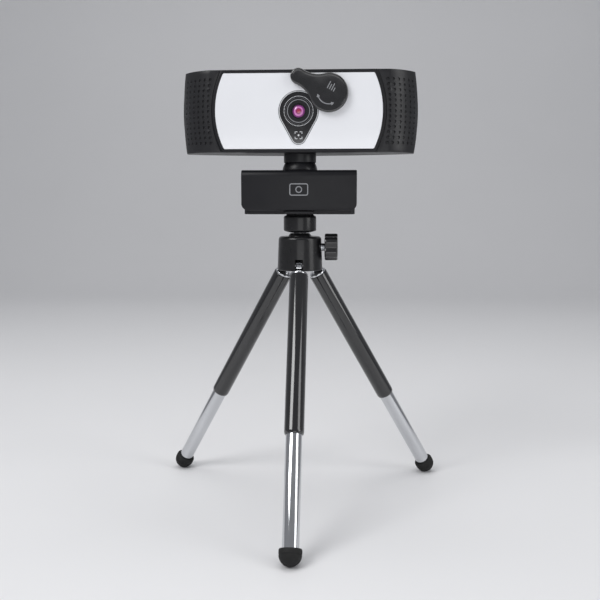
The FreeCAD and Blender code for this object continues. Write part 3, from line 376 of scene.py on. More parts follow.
bar = rounded_rectangle(2.35, 1.45, 0.5)
angle = np.linspace(0, np.pi / 2, 8)
quarter = np.concatenate([angle + k * np.pi / 2 for k in range(4)])
circle = np.stack([np.cos(quarter), np.sin(quarter)], 1)
neck_steps = [(0.0, 0.0, 0.0), (2.6, 0.0, 0.0), (3.7, 0.35, 3.4), (4.3, 0.8, 3.7), (4.55, 1.0, 3.82),
              (4.7, 1.0, 3.92), (5.35, 1.0, 3.92), (5.5, 1.0, 3.85)]
for side, azimuth in LEGS.items():
    hinge, down = leg_line(azimuth)
    a = math.radians(azimuth)
    across = np.array([-math.sin(a), math.cos(a), 0.0])
    forward = np.cross(across, down)
    rings = []
    for distance, blend, radius in neck_steps:
        section = bar * (1 - blend) + circle * radius * blend
        rings.append(hinge + distance * down + section[:, :1] * forward + section[:, 1:] * across)
    eye = solid_of_revolution([(0, -1.5), (2.4, -1.5), (2.4, 1.5), (0, 1.5)], hinge, across, 0.35, 40,
                              closed=False)
    piece(f"knuckle_{side}", *join(stack(rings), eye), f"leg_{side}_upper", chrome, f"leg_{side}_knuckle",
          "chrome")
print("knuckles made")

# %% [markdown]
# ## The hub
# The barrel is moulded, a little wider at its foot, with three slots that the legs fold on. A surface of
# revolution can't have slots, but its grid can: grid lines are laid exactly along each slot's edges, the
# faces between them are left out, and each opening gets its own walls.

# %% Hub barrel
HUB_LOW, HUB_HIGH = HINGE_Z - 2.5, BALL_Z + 3.0
SLOT_HALF, SLOT_TOP, SLOT_DEEP = 1.8, HINGE_Z + 2.7, HINGE_R - 2.8


def barrel_radius(z):
    """Straight taper from the foot's radius to the top's."""
    return 10.4 + (9.8 - 10.4) * (z - HUB_LOW) / (HUB_HIGH - HUB_LOW)


def hub_ring(z, radius, wide=16, narrow=5):
    """One ring whose points sit on the slots' edges: asin(half slot / radius) each side of each slot."""
    edge = np.arcsin(np.minimum(SLOT_HALF / radius, 0.9))
    turns = []
    for k in range(3):
        middle = math.radians(30 + 120 * k)
        turns.append(middle + np.linspace(-edge, edge, narrow)[:-1])
        turns.append(middle + np.linspace(edge, 2 * np.pi / 3 - edge, wide)[:-1])
    a = np.concatenate(turns)
    return np.stack([radius * np.cos(a), radius * np.sin(a), np.full_like(a, z)], 1)


wall_z = np.concatenate([[HUB_LOW + 0.35], np.linspace(HUB_LOW + 1.0, SLOT_TOP, 4),
                         [HUB_HIGH - 5, HUB_HIGH - 1.5]])
fillet = np.linspace(0, np.pi / 2, 8)[1:]
rows = [(HUB_LOW, barrel_radius(HUB_LOW) - 0.3)] + [(z, barrel_radius(z)) for z in wall_z]
rows += [(HUB_HIGH - 1.5 + 1.5 * math.sin(f), 9.86 - 1.5 + 1.5 * math.cos(f)) for f in fillet]
rows += [(HUB_HIGH, 6.1), (HUB_HIGH - 0.15, 5.8), (HUB_HIGH - 1.2, 6.1), (BALL_Z, 6.4)]
rows += [(BALL_Z - 6.4 * math.sin(f), max(6.4 * math.cos(f), 0.6)) for f in np.linspace(0.3, 1.45, 6)]
rings = np.array([hub_ring(z, r) for z, r in rows])
count = rings.shape[1]
quads = ring_faces(len(rows), count)
row_of, column_of = quads[:, 0] // count, quads[:, 0] % count
per = count // 3
slot_row = int(np.argmin(np.abs(np.array([z for z, r in rows][:6]) - SLOT_TOP)))
open_slot = (row_of < slot_row) & (column_of % per < 4)
faces = [tuple(q) for q in quads[~open_slot]] + [tuple(range((len(rows) - 1) * count, len(rows) * count))]
points = [rings.reshape(-1, 3)]
start = len(points[0])
floor_loop = []
for k in range(3):
    left = [r * count + k * per for r in range(slot_row + 1)]
    right = [r * count + k * per + 4 for r in range(slot_row + 1)]
    mouth = left + [slot_row * count + k * per + c for c in (1, 2, 3)] + right[::-1]
    out = np.array([math.cos(math.radians(30 + 120 * k)), math.sin(math.radians(30 + 120 * k)), 0])
    there = points[0][mouth]
    inner = there + np.outer(SLOT_DEEP - there @ out, out)
    points.append(inner)
    numbers = list(range(start, start + len(mouth)))
    start += len(mouth)
    faces += [(mouth[i], mouth[i + 1], numbers[i + 1], numbers[i]) for i in range(len(mouth) - 1)]
    faces.append(tuple(numbers))
    floor_loop += [left[0], numbers[0], numbers[-1]] + [k * per + c for c in range(4, per)]
faces.append(tuple(floor_loop))
piece("hub", np.concatenate(points), faces, "hub", hub_satin, "hub_body", "hub_black")

# %% [markdown]
# ## Platform, ball and lock
# The platform is a turned collar with a rounded shoulder, and a thin ribbed rubber washer lies on it. The
# knob is a turned disc whose radius swells and sinks round the rim: five lobes that fingers can grip.

# %% Platform, pad, stud and ball
top = CLIP_Z - 0.6
platform = solid_of_revolution([(3.18, BALL_Z + 4.7), (4.5, BALL_Z + 4.7), (7.5, BALL_Z + 5.5), (7.5, top),
                                (3.18, top)], (0, 0, 0), (0, 0, 1), [0.2, 0.3, 0.5, 1.3, 0.2], 96, 8)
piece("platform_collar", *platform, "platform", hub_satin, "platform", "hub_black")
ridges = [(3.18, top), (6.4, top)]
for r in np.arange(6.2, 3.6, -0.5):
    ridges += [(r, CLIP_Z - 0.12), (r - 0.12, CLIP_Z), (r - 0.3, CLIP_Z), (r - 0.42, CLIP_Z - 0.12)]
ridges += [(3.18, CLIP_Z - 0.12)]
piece("platform_washer", *stack(lathe(np.array(ridges), (0, 0, 0), count=96), closed_stack=True), "platform",
      black_rubber, "platform_pad", "rubber_black")
turn = np.linspace(-np.pi / 2, math.asin(4.4 / 6.2), 24)
ball = np.concatenate([np.stack([6.2 * np.cos(turn), 6.2 * np.sin(turn) + BALL_Z], 1),
                       [(4.2, BALL_Z + 4.4), (0, BALL_Z + 4.4)]])
ball[0, 0] = 0
piece("ball", *stack(lathe(ball, (0, 0, 0)), caps=False), "ball_stem", hub_satin, "ball", "hub_black")
pitch, z0, z1 = 1.27, CLIP_Z + 0.3, high("camera_stud")[2] - 0.7
threads = [(0, BALL_Z - 2), (2.9, BALL_Z - 2), (2.9, z0)]
for z in np.arange(z0, z1 - pitch, pitch / 2):
    threads += [(3.08, z + 0.28), (3.08, z + 0.34), (2.72, z + 0.6)]
threads += [(3.0, z1), (2.45, z1 + 0.6), (0, z1 + 0.7)]
piece("stud", *stack(lathe(np.array(threads), (0, 0, 0)), caps=False), "ball_stem", turned_steel, "camera_stud",
      "steel")

# %% Lock screw and knob
knob_x, knob_z = low("lock_knob")[0], BALL_Z - 2.0
a = np.linspace(0, 2 * np.pi, 120, endpoint=False)
lobes = 5.85 + 0.62 * np.cos(5 * a) - 0.10 * np.cos(10 * a)
profile = [(0.0, 0.55), (0.35, 0.55), (0.42, 0.12), (0.6, 0.0), (0.9, 0.0), (0.965, 0.15), (0.99, 0.4),
           (1.0, 0.8), (1.0, 5.2), (0.99, 5.6), (0.965, 5.85), (0.9, 6.0), (0.62, 6.0), (0.55, 5.75),
           (0.3, 5.65), (0.0, 5.65)]
rings = []
for share, x in profile:
    radius = share * (lobes * min(1, share * 1.2) + 5.85 * (1 - min(1, share * 1.2)))
    rings.append(np.stack([np.full_like(a, knob_x + x), radius * np.cos(a), knob_z + radius * np.sin(a)], 1))
piece("lock_knob_lobed", *stack(rings, caps=False), "lock", knob_gloss, "lock_knob", "knob_black", 40)
screw = [(0, 8.0), (1.6, 8.0), (1.9, 8.2), (1.9, 9.9)]
for x in np.arange(10.0, knob_x + 0.4, 0.45):
    screw += [(1.9, x), (1.68, x + 0.2)]
screw += [(1.8, knob_x + 0.9), (0, knob_x + 0.9)]
piece("lock_shaft", *stack(lathe(np.array(screw), (0, 0, knob_z), (1, 0, 0), 40), caps=False), "lock", chrome,
      "lock_screw", "chrome")
print("hub, platform, ball and lock made")

# %% [markdown]
# ## Outlines seen from the front
# The head's flat pieces share one idea: an outline in the plane of the face, drawn as a distance from the
# lens for every direction round it. Two outlines sampled in the same directions can be bridged ring by ring,
# which gives a panel with a hole of another shape, and a rounded edge is a few more rings a little inside.

# %% Outlines and rings in the face plane
def bowed(half_mid, bulge, half_height, inset=0.0, per_side=40):
    """Level top and bottom, sides on circles: half width at height z is mid - R + sqrt(R^2 - z^2)."""
    big = (half_height ** 2 + bulge ** 2) / (2 * bulge)
    z = np.linspace(-1, 1, per_side) * (half_height - inset)
    x = half_mid - big + np.sqrt((big - inset) ** 2 - z ** 2)
    across = np.linspace(1, -1, 60)[1:-1] * x[-1]
    top, bottom = (np.stack([across * k, np.full(58, z[-1] * k)], 1) for k in (1, -1))
    return np.concatenate([np.stack([x, z], 1), top, np.stack([-x, z], 1)[::-1], bottom])


def plectrum(grow=0.0, big=8.75, tip=3.4, drop=11.0):
    """A large and a small circle joined by their two outer tangents."""
    lean = math.asin((big - tip) / drop)
    upper = np.linspace(-lean, np.pi + lean, 90)
    lower = np.linspace(np.pi + lean, 2 * np.pi - lean, 30)
    top = (big + grow) * np.stack([np.cos(upper), np.sin(upper)], 1)
    low_arc = (tip + grow) * np.stack([np.cos(lower), np.sin(lower)], 1) - [0, drop]
    t = np.linspace(0, 1, 16)[1:-1, None]
    return np.concatenate([top, top[-1] + t * (low_arc[0] - top[-1]), low_arc,
                           low_arc[-1] + t * (top[0] - low_arc[-1])])


def offset(ring, distance):
    """Every point moved along the outward normal, the normal being square to its neighbours' chord."""
    chord = np.roll(ring, -1, 0) - np.roll(ring, 1, 0)
    normal = np.stack([chord[:, 1], -chord[:, 0]], 1)
    normal /= np.maximum(np.linalg.norm(normal, axis=1, keepdims=True), 1e-9)
    turn = np.sum(ring[:, 0] * np.roll(ring[:, 1], -1) - np.roll(ring[:, 0], -1) * ring[:, 1])
    return ring + normal * distance * (1 if turn > 0 else -1)


corner = [math.atan2(s_ * 16.25, c * 32.7) for s_ in (-1, 1) for c in (-1, 1)]
DIRECTIONS = np.unique(np.concatenate([np.linspace(-np.pi, np.pi, 240, endpoint=False), corner]))


def polar(outline):
    """The same outline sampled in the shared directions round the lens."""
    a = np.arctan2(outline[:, 1], outline[:, 0])
    r = np.linalg.norm(outline, axis=1)
    order = np.argsort(a)
    distance = np.interp(DIRECTIONS, a[order], r[order], period=2 * np.pi)
    return distance[:, None] * np.stack([np.cos(DIRECTIONS), np.sin(DIRECTIONS)], 1)


def upright(ring, y, centre=(0.0, None)):
    """A ring of the face plane at depth y, centred on the lens unless another centre is given."""
    z = FACE_Z if centre[1] is None else centre[1]
    return np.stack([ring[:, 0] + centre[0], np.full(len(ring), float(y)), ring[:, 1] + z], 1)


def disc_ring(radius):
    return radius * np.stack([np.cos(DIRECTIONS), np.sin(DIRECTIONS)], 1)


# %% Bezel and white panel
BEZEL = (38.2, 4.3, 17.75)  # half width at mid-height, how far the sides bow, half height
steps = [(0, -0.1), (0, FRONT_Y + 0.5), (0.08, FRONT_Y + 0.2), (0.2, FRONT_Y + 0.08), (0.45, FRONT_Y),
         (1.15, FRONT_Y), (1.3, FRONT_Y + 0.06), (1.4, FRONT_Y + 0.2), (1.4, FRONT_Y + 1.1),
         (1.9, FRONT_Y + 1.1), (1.9, -0.1)]
rings = [upright(bowed(*BEZEL, inset), y) for inset, y in steps]
piece("bezel", *stack(rings, closed_stack=True), "head", satin_bezel, "front_frame", "bezel_black")
panel_edge = polar(bowed(*BEZEL, 1.5))
hole = polar(plectrum(0.1))
rings = [upright(hole, FRONT_Y + 1.2), upright(hole, FRONT_Y + 0.06), upright(hole * 1.01, FRONT_Y),
         upright(hole * 1.05, FRONT_Y), upright(panel_edge * 0.985, FRONT_Y),
         upright(panel_edge * 0.996, FRONT_Y), upright(panel_edge, FRONT_Y + 0.14),
         upright(panel_edge, FRONT_Y + 1.2)]
piece("face_panel", *stack(rings, closed_stack=True), "head", white_gloss, "face_plate", "panel_white")

# %% Lens window with its printed rings
edge = polar(plectrum())
rings = [upright(disc_ring(3.1), FRONT_Y + 1.2), upright(disc_ring(3.1), FRONT_Y + 0.1),
         upright(disc_ring(3.22), FRONT_Y - 0.05), upright(disc_ring(3.4), FRONT_Y - 0.05),
         upright(edge * 0.96, FRONT_Y - 0.05), upright(edge * 0.985, FRONT_Y - 0.05),
         upright(edge, FRONT_Y + 0.08), upright(edge, FRONT_Y + 1.2)]
piece("lens_window_glass", *stack(rings, closed_stack=True), "head", black_glass, "lens_window", "window_black")
PRINT = (FRONT_Y - 0.09, FRONT_Y - 0.04)


def printed_band(outline, width, centre=(0.0, None)):
    """A flat band of ink along an outline: four rings, closed on themselves."""
    wide = offset(outline, -width)
    return stack([upright(outline, PRINT[1], centre), upright(outline, PRINT[0], centre),
                  upright(wide, PRINT[0], centre), upright(wide, PRINT[1], centre)], closed_stack=True)


def printed_dots(radius, size, how_many, sides=8):
    """Round dots on a circle, each a short prism."""
    a = np.linspace(0, 2 * np.pi, how_many, endpoint=False)
    b = np.linspace(0, 2 * np.pi, sides, endpoint=False)
    dot = size * np.stack([np.cos(b), np.sin(b)], 1)
    return [stack([upright(dot + radius * np.array([math.cos(k), math.sin(k)]), y) for y in PRINT]) for k in a]


def printed_strip(path, widths, lift=PRINT, turn=0.0, centre=(0.0, None)):
    """A strip of changing width along a path: the path moved each way along its normal, then closed."""
    path = np.asarray(path, float)
    along = np.gradient(path, axis=0)
    along /= np.linalg.norm(along, axis=1, keepdims=True)
    normal = np.stack([-along[:, 1], along[:, 0]], 1) * np.asarray(widths)[:, None] / 2
    ring = np.concatenate([path + normal, (path - normal)[::-1]])
    c, s_ = math.cos(turn), math.sin(turn)
    ring = ring @ np.array([[c, s_], [-s_, c]])
    return stack([upright(ring, lift[1], centre), upright(ring, lift[0], centre)])


piece("window_outline", *printed_band(plectrum(-0.15), 0.3), "head", pale_print, slot="window_black")
piece("window_dots", *join(*printed_dots(6.35, 0.19, 64)), "head", pale_print, slot="window_black")
piece("window_rings", *join(printed_band(disc_ring(5.0), 0.3), *printed_dots(5.65, 0.09, 90, 6)), "head",
      grey_print, slot="window_black")
marks = []
for sx in (-1, 1):
    for sz in (-1, 1):
        path = np.array([(sx * 0.5, sz * 1.5), (sx * 1.1, sz * 1.5), (sx * 1.5, sz * 1.5), (sx * 1.5, sz * 1.1),
                         (sx * 1.5, sz * 0.5)]) + [0, -10.4]
        marks += [printed_strip(path[:3], [0.3] * 3), printed_strip(path[2:] + [0, sz * 0.15], [0.3] * 3)]
dot = 0.42 * np.stack([np.cos(quarter), np.sin(quarter)], 1) + [0, -10.4]
marks += [stack([upright(dot, y) for y in PRINT])]
piece("focus_mark", *join(*marks), "head", pale_print, slot="window_black")

# %% [markdown]
# ## The lens
# Coated glass looks magenta and violet, and the colour changes from the middle outwards. The lens is one
# turned dome; its colour is a ramp on the distance from the lens's own axis, under a clear, sharp coat.
# The ramp paints light into the base colour: the magenta coating tint, bright pink and dark rings that are
# painted reflections of the inner elements, and a painted dark red glow in the middle.
# Black stepped baffles round it give the barrel its depth.

# %% Lens and barrel
# The lens finish: its base colour carries painted reflections from the ramp below.
lens_reflection_painted = finish("lens_painted_reflections", (0.5, 0.1, 0.3), 0.05, coat=1.0, grain=(300, 0.0), cloud=(200, 0.02), drift=0.02)
tree = lens_reflection_painted.node_tree
middle = tree.nodes.new("ShaderNodeMapping")
middle.inputs["Location"].default_value = (0, 0, -FACE_Z * MM)
middle.inputs["Scale"].default_value = (1, 0, 1)
tree.links.new(tree.nodes["Texture Coordinate"].outputs["Object"], middle.inputs["Vector"])
length = tree.nodes.new("ShaderNodeVectorMath")
length.operation = "LENGTH"
tree.links.new(middle.outputs["Vector"], length.inputs[0])
scale = tree.nodes.new("ShaderNodeMapRange")
scale.inputs["From Max"].default_value = 0.003
tree.links.new(length.outputs["Value"], scale.inputs["Value"])
# Painted reflections: the ramp's bright pink and dark rings and its dark red middle stand for reflected light,
# laid into the base colour over the coating tint.
painted_reflection_ramp = tree.nodes.new("ShaderNodeValToRGB")
painted_reflection_stops = [(0.0, (0.30, 0.02, 0.05)), (0.28, (0.42, 0.03, 0.10)), (0.34, (0.05, 0.01, 0.04)),
         (0.45, (0.62, 0.12, 0.42)), (0.62, (0.80, 0.30, 0.66)), (0.72, (0.30, 0.05, 0.30)),
         (0.86, (0.55, 0.12, 0.50)), (1.0, (0.10, 0.02, 0.14))]
ramp = painted_reflection_ramp.color_ramp
while len(ramp.elements) < len(painted_reflection_stops):
    ramp.elements.new(0.5)
for element, (where, colour) in zip(ramp.elements, painted_reflection_stops):
    element.position, element.color = where, (*colour, 1)
tree.links.new(scale.outputs["Result"], painted_reflection_ramp.inputs["Fac"])
tree.links.new(painted_reflection_ramp.outputs["Color"], tree.nodes["Principled BSDF"].inputs["Base Color"])
r = np.linspace(0, 2.7, 20)
dome = np.stack([r, FRONT_Y + 0.15 + 5.4 - np.sqrt(5.4 ** 2 - r ** 2)], 1)
dome = np.concatenate([dome, [(2.7, FRONT_Y + 2.2), (0, FRONT_Y + 2.2)]])
piece("front_glass", *stack(lathe(dome, (0, 0, FACE_Z), (0, 1, 0), 64), caps=False), "head", lens_reflection_painted,
      ("front_lens", "inner_lenses"), "lens_glass", 60)
baffle = [(2.72, FRONT_Y + 2), (2.72, FRONT_Y + 0.75), (2.82, FRONT_Y + 0.68), (2.82, FRONT_Y + 0.3),
          (2.92, FRONT_Y + 0.24), (2.95, FRONT_Y - 0.1), (3.05, FRONT_Y - 0.12),
          (3.09, FRONT_Y), (3.09, FRONT_Y + 2)]
piece("lens_bezel", *stack(lathe(np.array(baffle), (0, 0, FACE_Z), (0, 1, 0), 64), closed_stack=True), "head",
      satin_bezel, slot="inner_black")
print("face, window and lens made")

# %% [markdown]
# ## The privacy cover
# The cover is a comma of smoked plastic: a small lobe on its pin, a large lobe over the lens, and two hollow
# flanks between them. It is moulded with a soft front edge, a fine rim and a raised arrow that shows the way.

# %% Cover
ARM, LARGE, SMALL, WAIST = 15.0, 8.4, 3.5, 12.0
to_small, to_large = SMALL + WAIST, LARGE + WAIST
drop = (to_small ** 2 - to_large ** 2 + ARM ** 2) / (2 * ARM)
reach = math.sqrt(to_small ** 2 - drop ** 2)
OPEN = math.radians(62.0)
PIVOT = (0.0, joints["cover_swing"]["pos_m"][2] / MM)


def arc(cx, cz, radius, a0, a1, n):
    """Points on a circle from one angle to another."""
    a = np.linspace(a0, a1, n)
    return np.stack([cx + radius * np.cos(a), cz + radius * np.sin(a)], 1)


near = math.atan2(-drop, reach)
far = math.atan2(ARM - drop, reach)
comma = np.concatenate([
    arc(0, 0, SMALL, near, np.pi - near, 40)[:-1],
    arc(-reach, -drop, WAIST, -near, -far, 24)[:-1],
    arc(0, -ARM, LARGE, np.pi - far, 2 * np.pi + far, 72)[:-1],
    arc(reach, -drop, WAIST, np.pi + far, np.pi + near, 24)[:-1]])
back_y, front_y = high("privacy_cover")[1], low("privacy_cover")[1]
c, s_ = math.cos(OPEN), math.sin(OPEN)
swung = comma @ np.array([[c, s_], [-s_, c]])
steps = [(0.15, back_y), (0, back_y - 0.15), (0, front_y + 0.7), (0.05, front_y + 0.45), (0.2, front_y + 0.2),
         (0.45, front_y + 0.05), (0.7, front_y + 0.0), (0.95, front_y + 0.02), (1.1, front_y + 0.1),
         (1.3, front_y + 0.12)]
rings = [upright(offset(swung, -inset), y, PIVOT) for inset, y in steps]
piece("cover", *stack(rings), "cover", smoked_cover, "privacy_cover", "cover_smoke")
raised = (front_y + 0.01, front_y + 0.14)
sweep = arc(0, -ARM, 4.9, math.radians(125), math.radians(235), 40)
widths = np.full(40, 0.42)
widths[:6], widths[-6:] = np.linspace(0.05, 1.5, 6), np.linspace(1.5, 0.05, 6)
arrow = printed_strip(sweep, widths, raised, OPEN, PIVOT)
ticks = [printed_strip(np.array([(1.2, -ARM + z), (2.0, -ARM + z), (2.0 + w, -ARM + z)]), [0.4] * 3,
                       raised, OPEN, PIVOT) for z, w in ((1.5, 2.4), (0.5, 1.6), (-0.5, 2.4), (-1.5, 0.9))]
piece("cover_arrow", *join(arrow, *ticks), "cover", grey_print, slot="cover_smoke")
print("cover made")


# %% [markdown]
# ## Dimpled end caps
# Each cap is a bent sheet drawn on a grid. One cell in the grid belongs to one dimple: the nine small squares
# in the middle of the cell are left out, and the twelve points round them lead down into a shallow round cup.

# %% Caps
R_SWEEP, X_SWEEP, Y_SWEEP = 21.546, 33.181, 8.454
COLUMNS, PITCH, ROWS = np.array([39.8, 42.2, 44.6, 46.9, 49.2, 51.1]), 2.26, 13


def front_at(x):
    """Depth of the front: Y - sqrt(R^2 - (x - X)^2), never further forward than 0.3 behind the bezel."""
    return np.maximum(FRONT_Y + 0.3, Y_SWEEP - np.sqrt(R_SWEEP ** 2 - (x - X_SWEEP) ** 2))


def cap_surface(side):
    """Points and faces of one cap; side is +1 or -1."""
    inner = lambda z: 38.2 - 38.785 + np.sqrt(38.785 ** 2 - z ** 2) + 0.03
    outer = lambda z: 53.0 - 90.89 + np.sqrt(90.89 ** 2 - z ** 2)
    edges = np.concatenate([[38.6], (COLUMNS[1:] + COLUMNS[:-1]) / 2, [51.9]])
    thirds = lambda e: np.append((e[:-1, None] + np.diff(e)[:, None] * np.arange(3) / 3).ravel(), e[-1])
    u = thirds(edges)
    v = thirds((np.arange(ROWS + 1) - ROWS / 2) * PITCH)
    zs = np.concatenate([[-17.35, -16.0], v, [16.0, 17.35]])

    def sheet(inset, back):
        z = np.clip(zs, -17.75 + inset, 17.75 - inset)
        z[0], z[-1] = -17.75 + inset, 17.75 - inset
        middle = u[None] - 1.1 * (z[:, None] / 13.56) ** 2
        x = np.concatenate([inner(z)[:, None] + inset, middle, outer(z)[:, None] - inset], 1)
        x[:, 1:-1] = np.clip(x[:, 1:-1], x[:, :1] + 0.05, x[:, -1:] - 0.05)
        return np.stack([x, np.minimum(front_at(x) + back, -0.3), np.repeat(z[:, None], x.shape[1], 1)], 2)

    base = sheet(0.4, 0.0)
    nz, nu = base.shape[:2]
    number = np.arange(nz * nu).reshape(nz, nu)
    keep = np.ones((nz - 1, nu - 1), bool)
    keep[2:-2, 1:-1] = False
    a, b = np.nonzero(keep)
    corners = number[a, b], number[a, b + 1], number[a + 1, b + 1], number[a + 1, b]
    faces = [tuple(f) for f in np.stack(corners, 1)]
    points = [base.reshape(-1, 3)]
    total = nz * nu
    angle = np.radians(-135 + 30 * np.arange(12))
    walk = [(0, 0), (1, 0), (2, 0), (3, 0), (3, 1), (3, 2), (3, 3), (2, 3), (1, 3), (0, 3), (0, 2), (0, 1)]
    for row in range(ROWS):
        for column in range(len(COLUMNS)):
            i, j = 2 + 3 * row, 1 + 3 * column
            ring = [number[i + q, j + p] for p, q in walk]
            z0 = (row - 6) * PITCH
            x0 = COLUMNS[column] - 1.1 * (z0 / 13.56) ** 2
            lean = math.asin((x0 - X_SWEEP) / R_SWEEP) if x0 > 39.32 else 0.0
            centre = np.array([x0, float(front_at(x0)), z0])
            for radius, depth in ((0.72, 0.0), (0.64, 0.12), (0.46, 0.48)):
                x, z = radius * np.cos(angle), radius * np.sin(angle)
                points.append(centre + np.stack([x * math.cos(lean) - depth * math.sin(lean),
                                                 x * math.sin(lean) + depth * math.cos(lean), z], 1))
                new = list(range(total, total + 12))
                faces += [(ring[k], ring[(k + 1) % 12], new[(k + 1) % 12], new[k]) for k in range(12)]
                ring, total = new, total + 12
            faces.append(tuple(ring))
    rim = np.concatenate([number[0], number[1:, -1], number[-1, -2::-1], number[-2:0:-1, 0]])
    ring, count = [int(n) for n in rim], len(rim)
    for inset, back in ((0.12, 0.12), (0.0, 0.4), (0.0, None)):
        edge = sheet(inset, back or 0.4).reshape(-1, 3)[rim]
        if back is None:
            edge[:, 1] = -0.1
        points.append(edge)
        new = list(range(total, total + count))
        faces += [(ring[k], ring[(k + 1) % count], new[(k + 1) % count], new[k]) for k in range(count)]
        ring, total = new, total + count
    faces.append(tuple(ring))
    points = np.concatenate(points) * [side, 1, 1] + [0, 0, FACE_Z]
    used = np.unique(np.concatenate([np.array(f) for f in faces]))
    renumber = np.zeros(total, int)
    renumber[used] = np.arange(len(used))
    return points[used], [tuple(int(renumber[n]) for n in f) for f in faces]


piece("cap_right_dimpled", *cap_surface(1), "head", grille_satin, "cap_right", "grille_black")
piece("cap_left_dimpled", *cap_surface(-1), "head", grille_satin, "cap_left", "grille_black")
print("caps made")

# %% [markdown]
# ## Neck and clip
# The neck is two turned pieces. The clip is bent plate: a path in the side view gives its inner and outer
# skin, every step of the path is a rounded strip across, and the two ends are drawn in a little.

# %% Neck
DOME_R, DOME_Z = 8.0, 153.299
dome_top = HEAD_BOTTOM - 3.5
a = np.linspace(math.asin(0.9 / DOME_R), math.asin(min(0.999, (dome_top - DOME_Z) / DOME_R)), 24)
profile = np.concatenate([[(0, 0.9), (7.7, 0.9)], DOME_R * np.stack([np.cos(a), np.sin(a)], 1),
                          [(0, dome_top - DOME_Z)]])
piece("neck_dome", *stack(lathe(profile, (0, 0, DOME_Z), count=64), caps=False), "turret", neck_satin,
      "turret", "neck_black")
COLLAR_Z, height = 157.499, HEAD_BOTTOM - 157.499
piece("collar_round", *solid_of_revolution([(3.2, 0.9), (6.9, 0), (7.35, 0), (7.35, height), (3.2, height)],
      (0, 0, COLLAR_Z), (0, 0, 1), [0, 0, 0.3, 0.2, 0], 64, 6, True), "head", neck_satin,
      "neck_collar", "neck_black")


# %% Clip
def plate(outer, inner, half):
    """A bent plate: outer and inner skins in the side view and the half width at every step."""
    outer, inner = np.asarray(outer, float), np.asarray(inner, float)
    half = np.broadcast_to(np.asarray(half, float), (len(outer),))
    rings = []
    for o, i, w in zip(outer, inner, half):
        e = min(0.35, 0.3 * np.linalg.norm(o - i))
        across = rounded_rectangle(w, np.linalg.norm(o - i) / 2, e, 4)
        along = (o - i) / np.linalg.norm(o - i)
        mid = (o + i) / 2
        side = mid + across[:, 1:] * along
        rings.append(np.stack([across[:, 0], side[:, 0], side[:, 1]], 1))
    return stack(rings)


def pairs(y, z):
    """Points of the side view, y and z being arrays or single numbers."""
    return np.stack(np.broadcast_arrays(np.asarray(y, float), np.asarray(z, float)), 1)


def narrowed(half, radius, past):
    """Half width where a corner of this radius is past by this much: half - r + sqrt(r^2 - past^2)."""
    return half - radius + np.sqrt(np.maximum(radius ** 2 - past ** 2, 0))


BRIDGE_HALF, LEG_HALF = 25.75, 25.0
TOP_THICK, JAW_THICK, FOOT_THICK = 3.5, 3.0, 7.0
JAW_CORNER, BACK_CORNER, BEND_R = 3.0, 4.0, 2.6
HINGE_AXIS, BARREL_R = (8.4, 149.699), 2.4
t = np.radians(np.linspace(0, 90, 10))
early, late = np.radians(np.linspace(30, 90, 8)), np.sin(np.radians(np.linspace(15, 85, 8)))
JAW_Y, JAW_LOW, BACK = low("clip_bridge")[1], low("clip_bridge")[2], high("clip_bridge")[1]
up = np.concatenate([[0, 0.12, 0.3], JAW_CORNER - JAW_CORNER * np.cos(early), [6, 10, 15.0]])
jaw_z = JAW_LOW + up
jaw_half = np.where(up < JAW_CORNER, narrowed(BRIDGE_HALF, JAW_CORNER, JAW_CORNER - up), BRIDGE_HALF)
thin = np.zeros(len(up))
thin[:2] = 0.3, 0.1
back_y = np.concatenate([np.linspace(JAW_Y + 3.4, BACK - BACK_CORNER, 6), BACK - BACK_CORNER + BACK_CORNER * late])
back_half = np.where(back_y > BACK - BACK_CORNER,
                     narrowed(BRIDGE_HALF, BACK_CORNER, back_y - BACK + BACK_CORNER), BRIDGE_HALF)
outer = np.concatenate([pairs(JAW_Y + thin, jaw_z),
                        pairs(JAW_Y + BEND_R - BEND_R * np.cos(t), CLIP_TOP - BEND_R + BEND_R * np.sin(t)),
                        pairs(back_y, CLIP_TOP)])
inner = np.concatenate([pairs(JAW_Y + JAW_THICK - thin, np.minimum(jaw_z, CLIP_TOP - TOP_THICK)),
                        pairs(JAW_Y + JAW_THICK + np.linspace(0, 0.05, 10), CLIP_TOP - TOP_THICK),
                        pairs(back_y, CLIP_TOP - TOP_THICK)])
half = np.concatenate([jaw_half, np.full(10, BRIDGE_HALF), back_half])


def hinge_barrel(start, length):
    """A turned knuckle of the clip's hinge, from one x onwards."""
    return solid_of_revolution([(0, 0), (BARREL_R, 0), (BARREL_R, length), (0, length)], (start, *HINGE_AXIS),
                               (1, 0, 0), [0, 0.3, 0.3, 0], 32, 3, False)


piece("clip_bridge_plate", *join(plate(outer, inner, half), hinge_barrel(15.3, 6.7), hinge_barrel(-22.0, 6.7)),
      "clip_bridge", clip_satin, "clip_bridge", "clip_black", weld=1e-7)

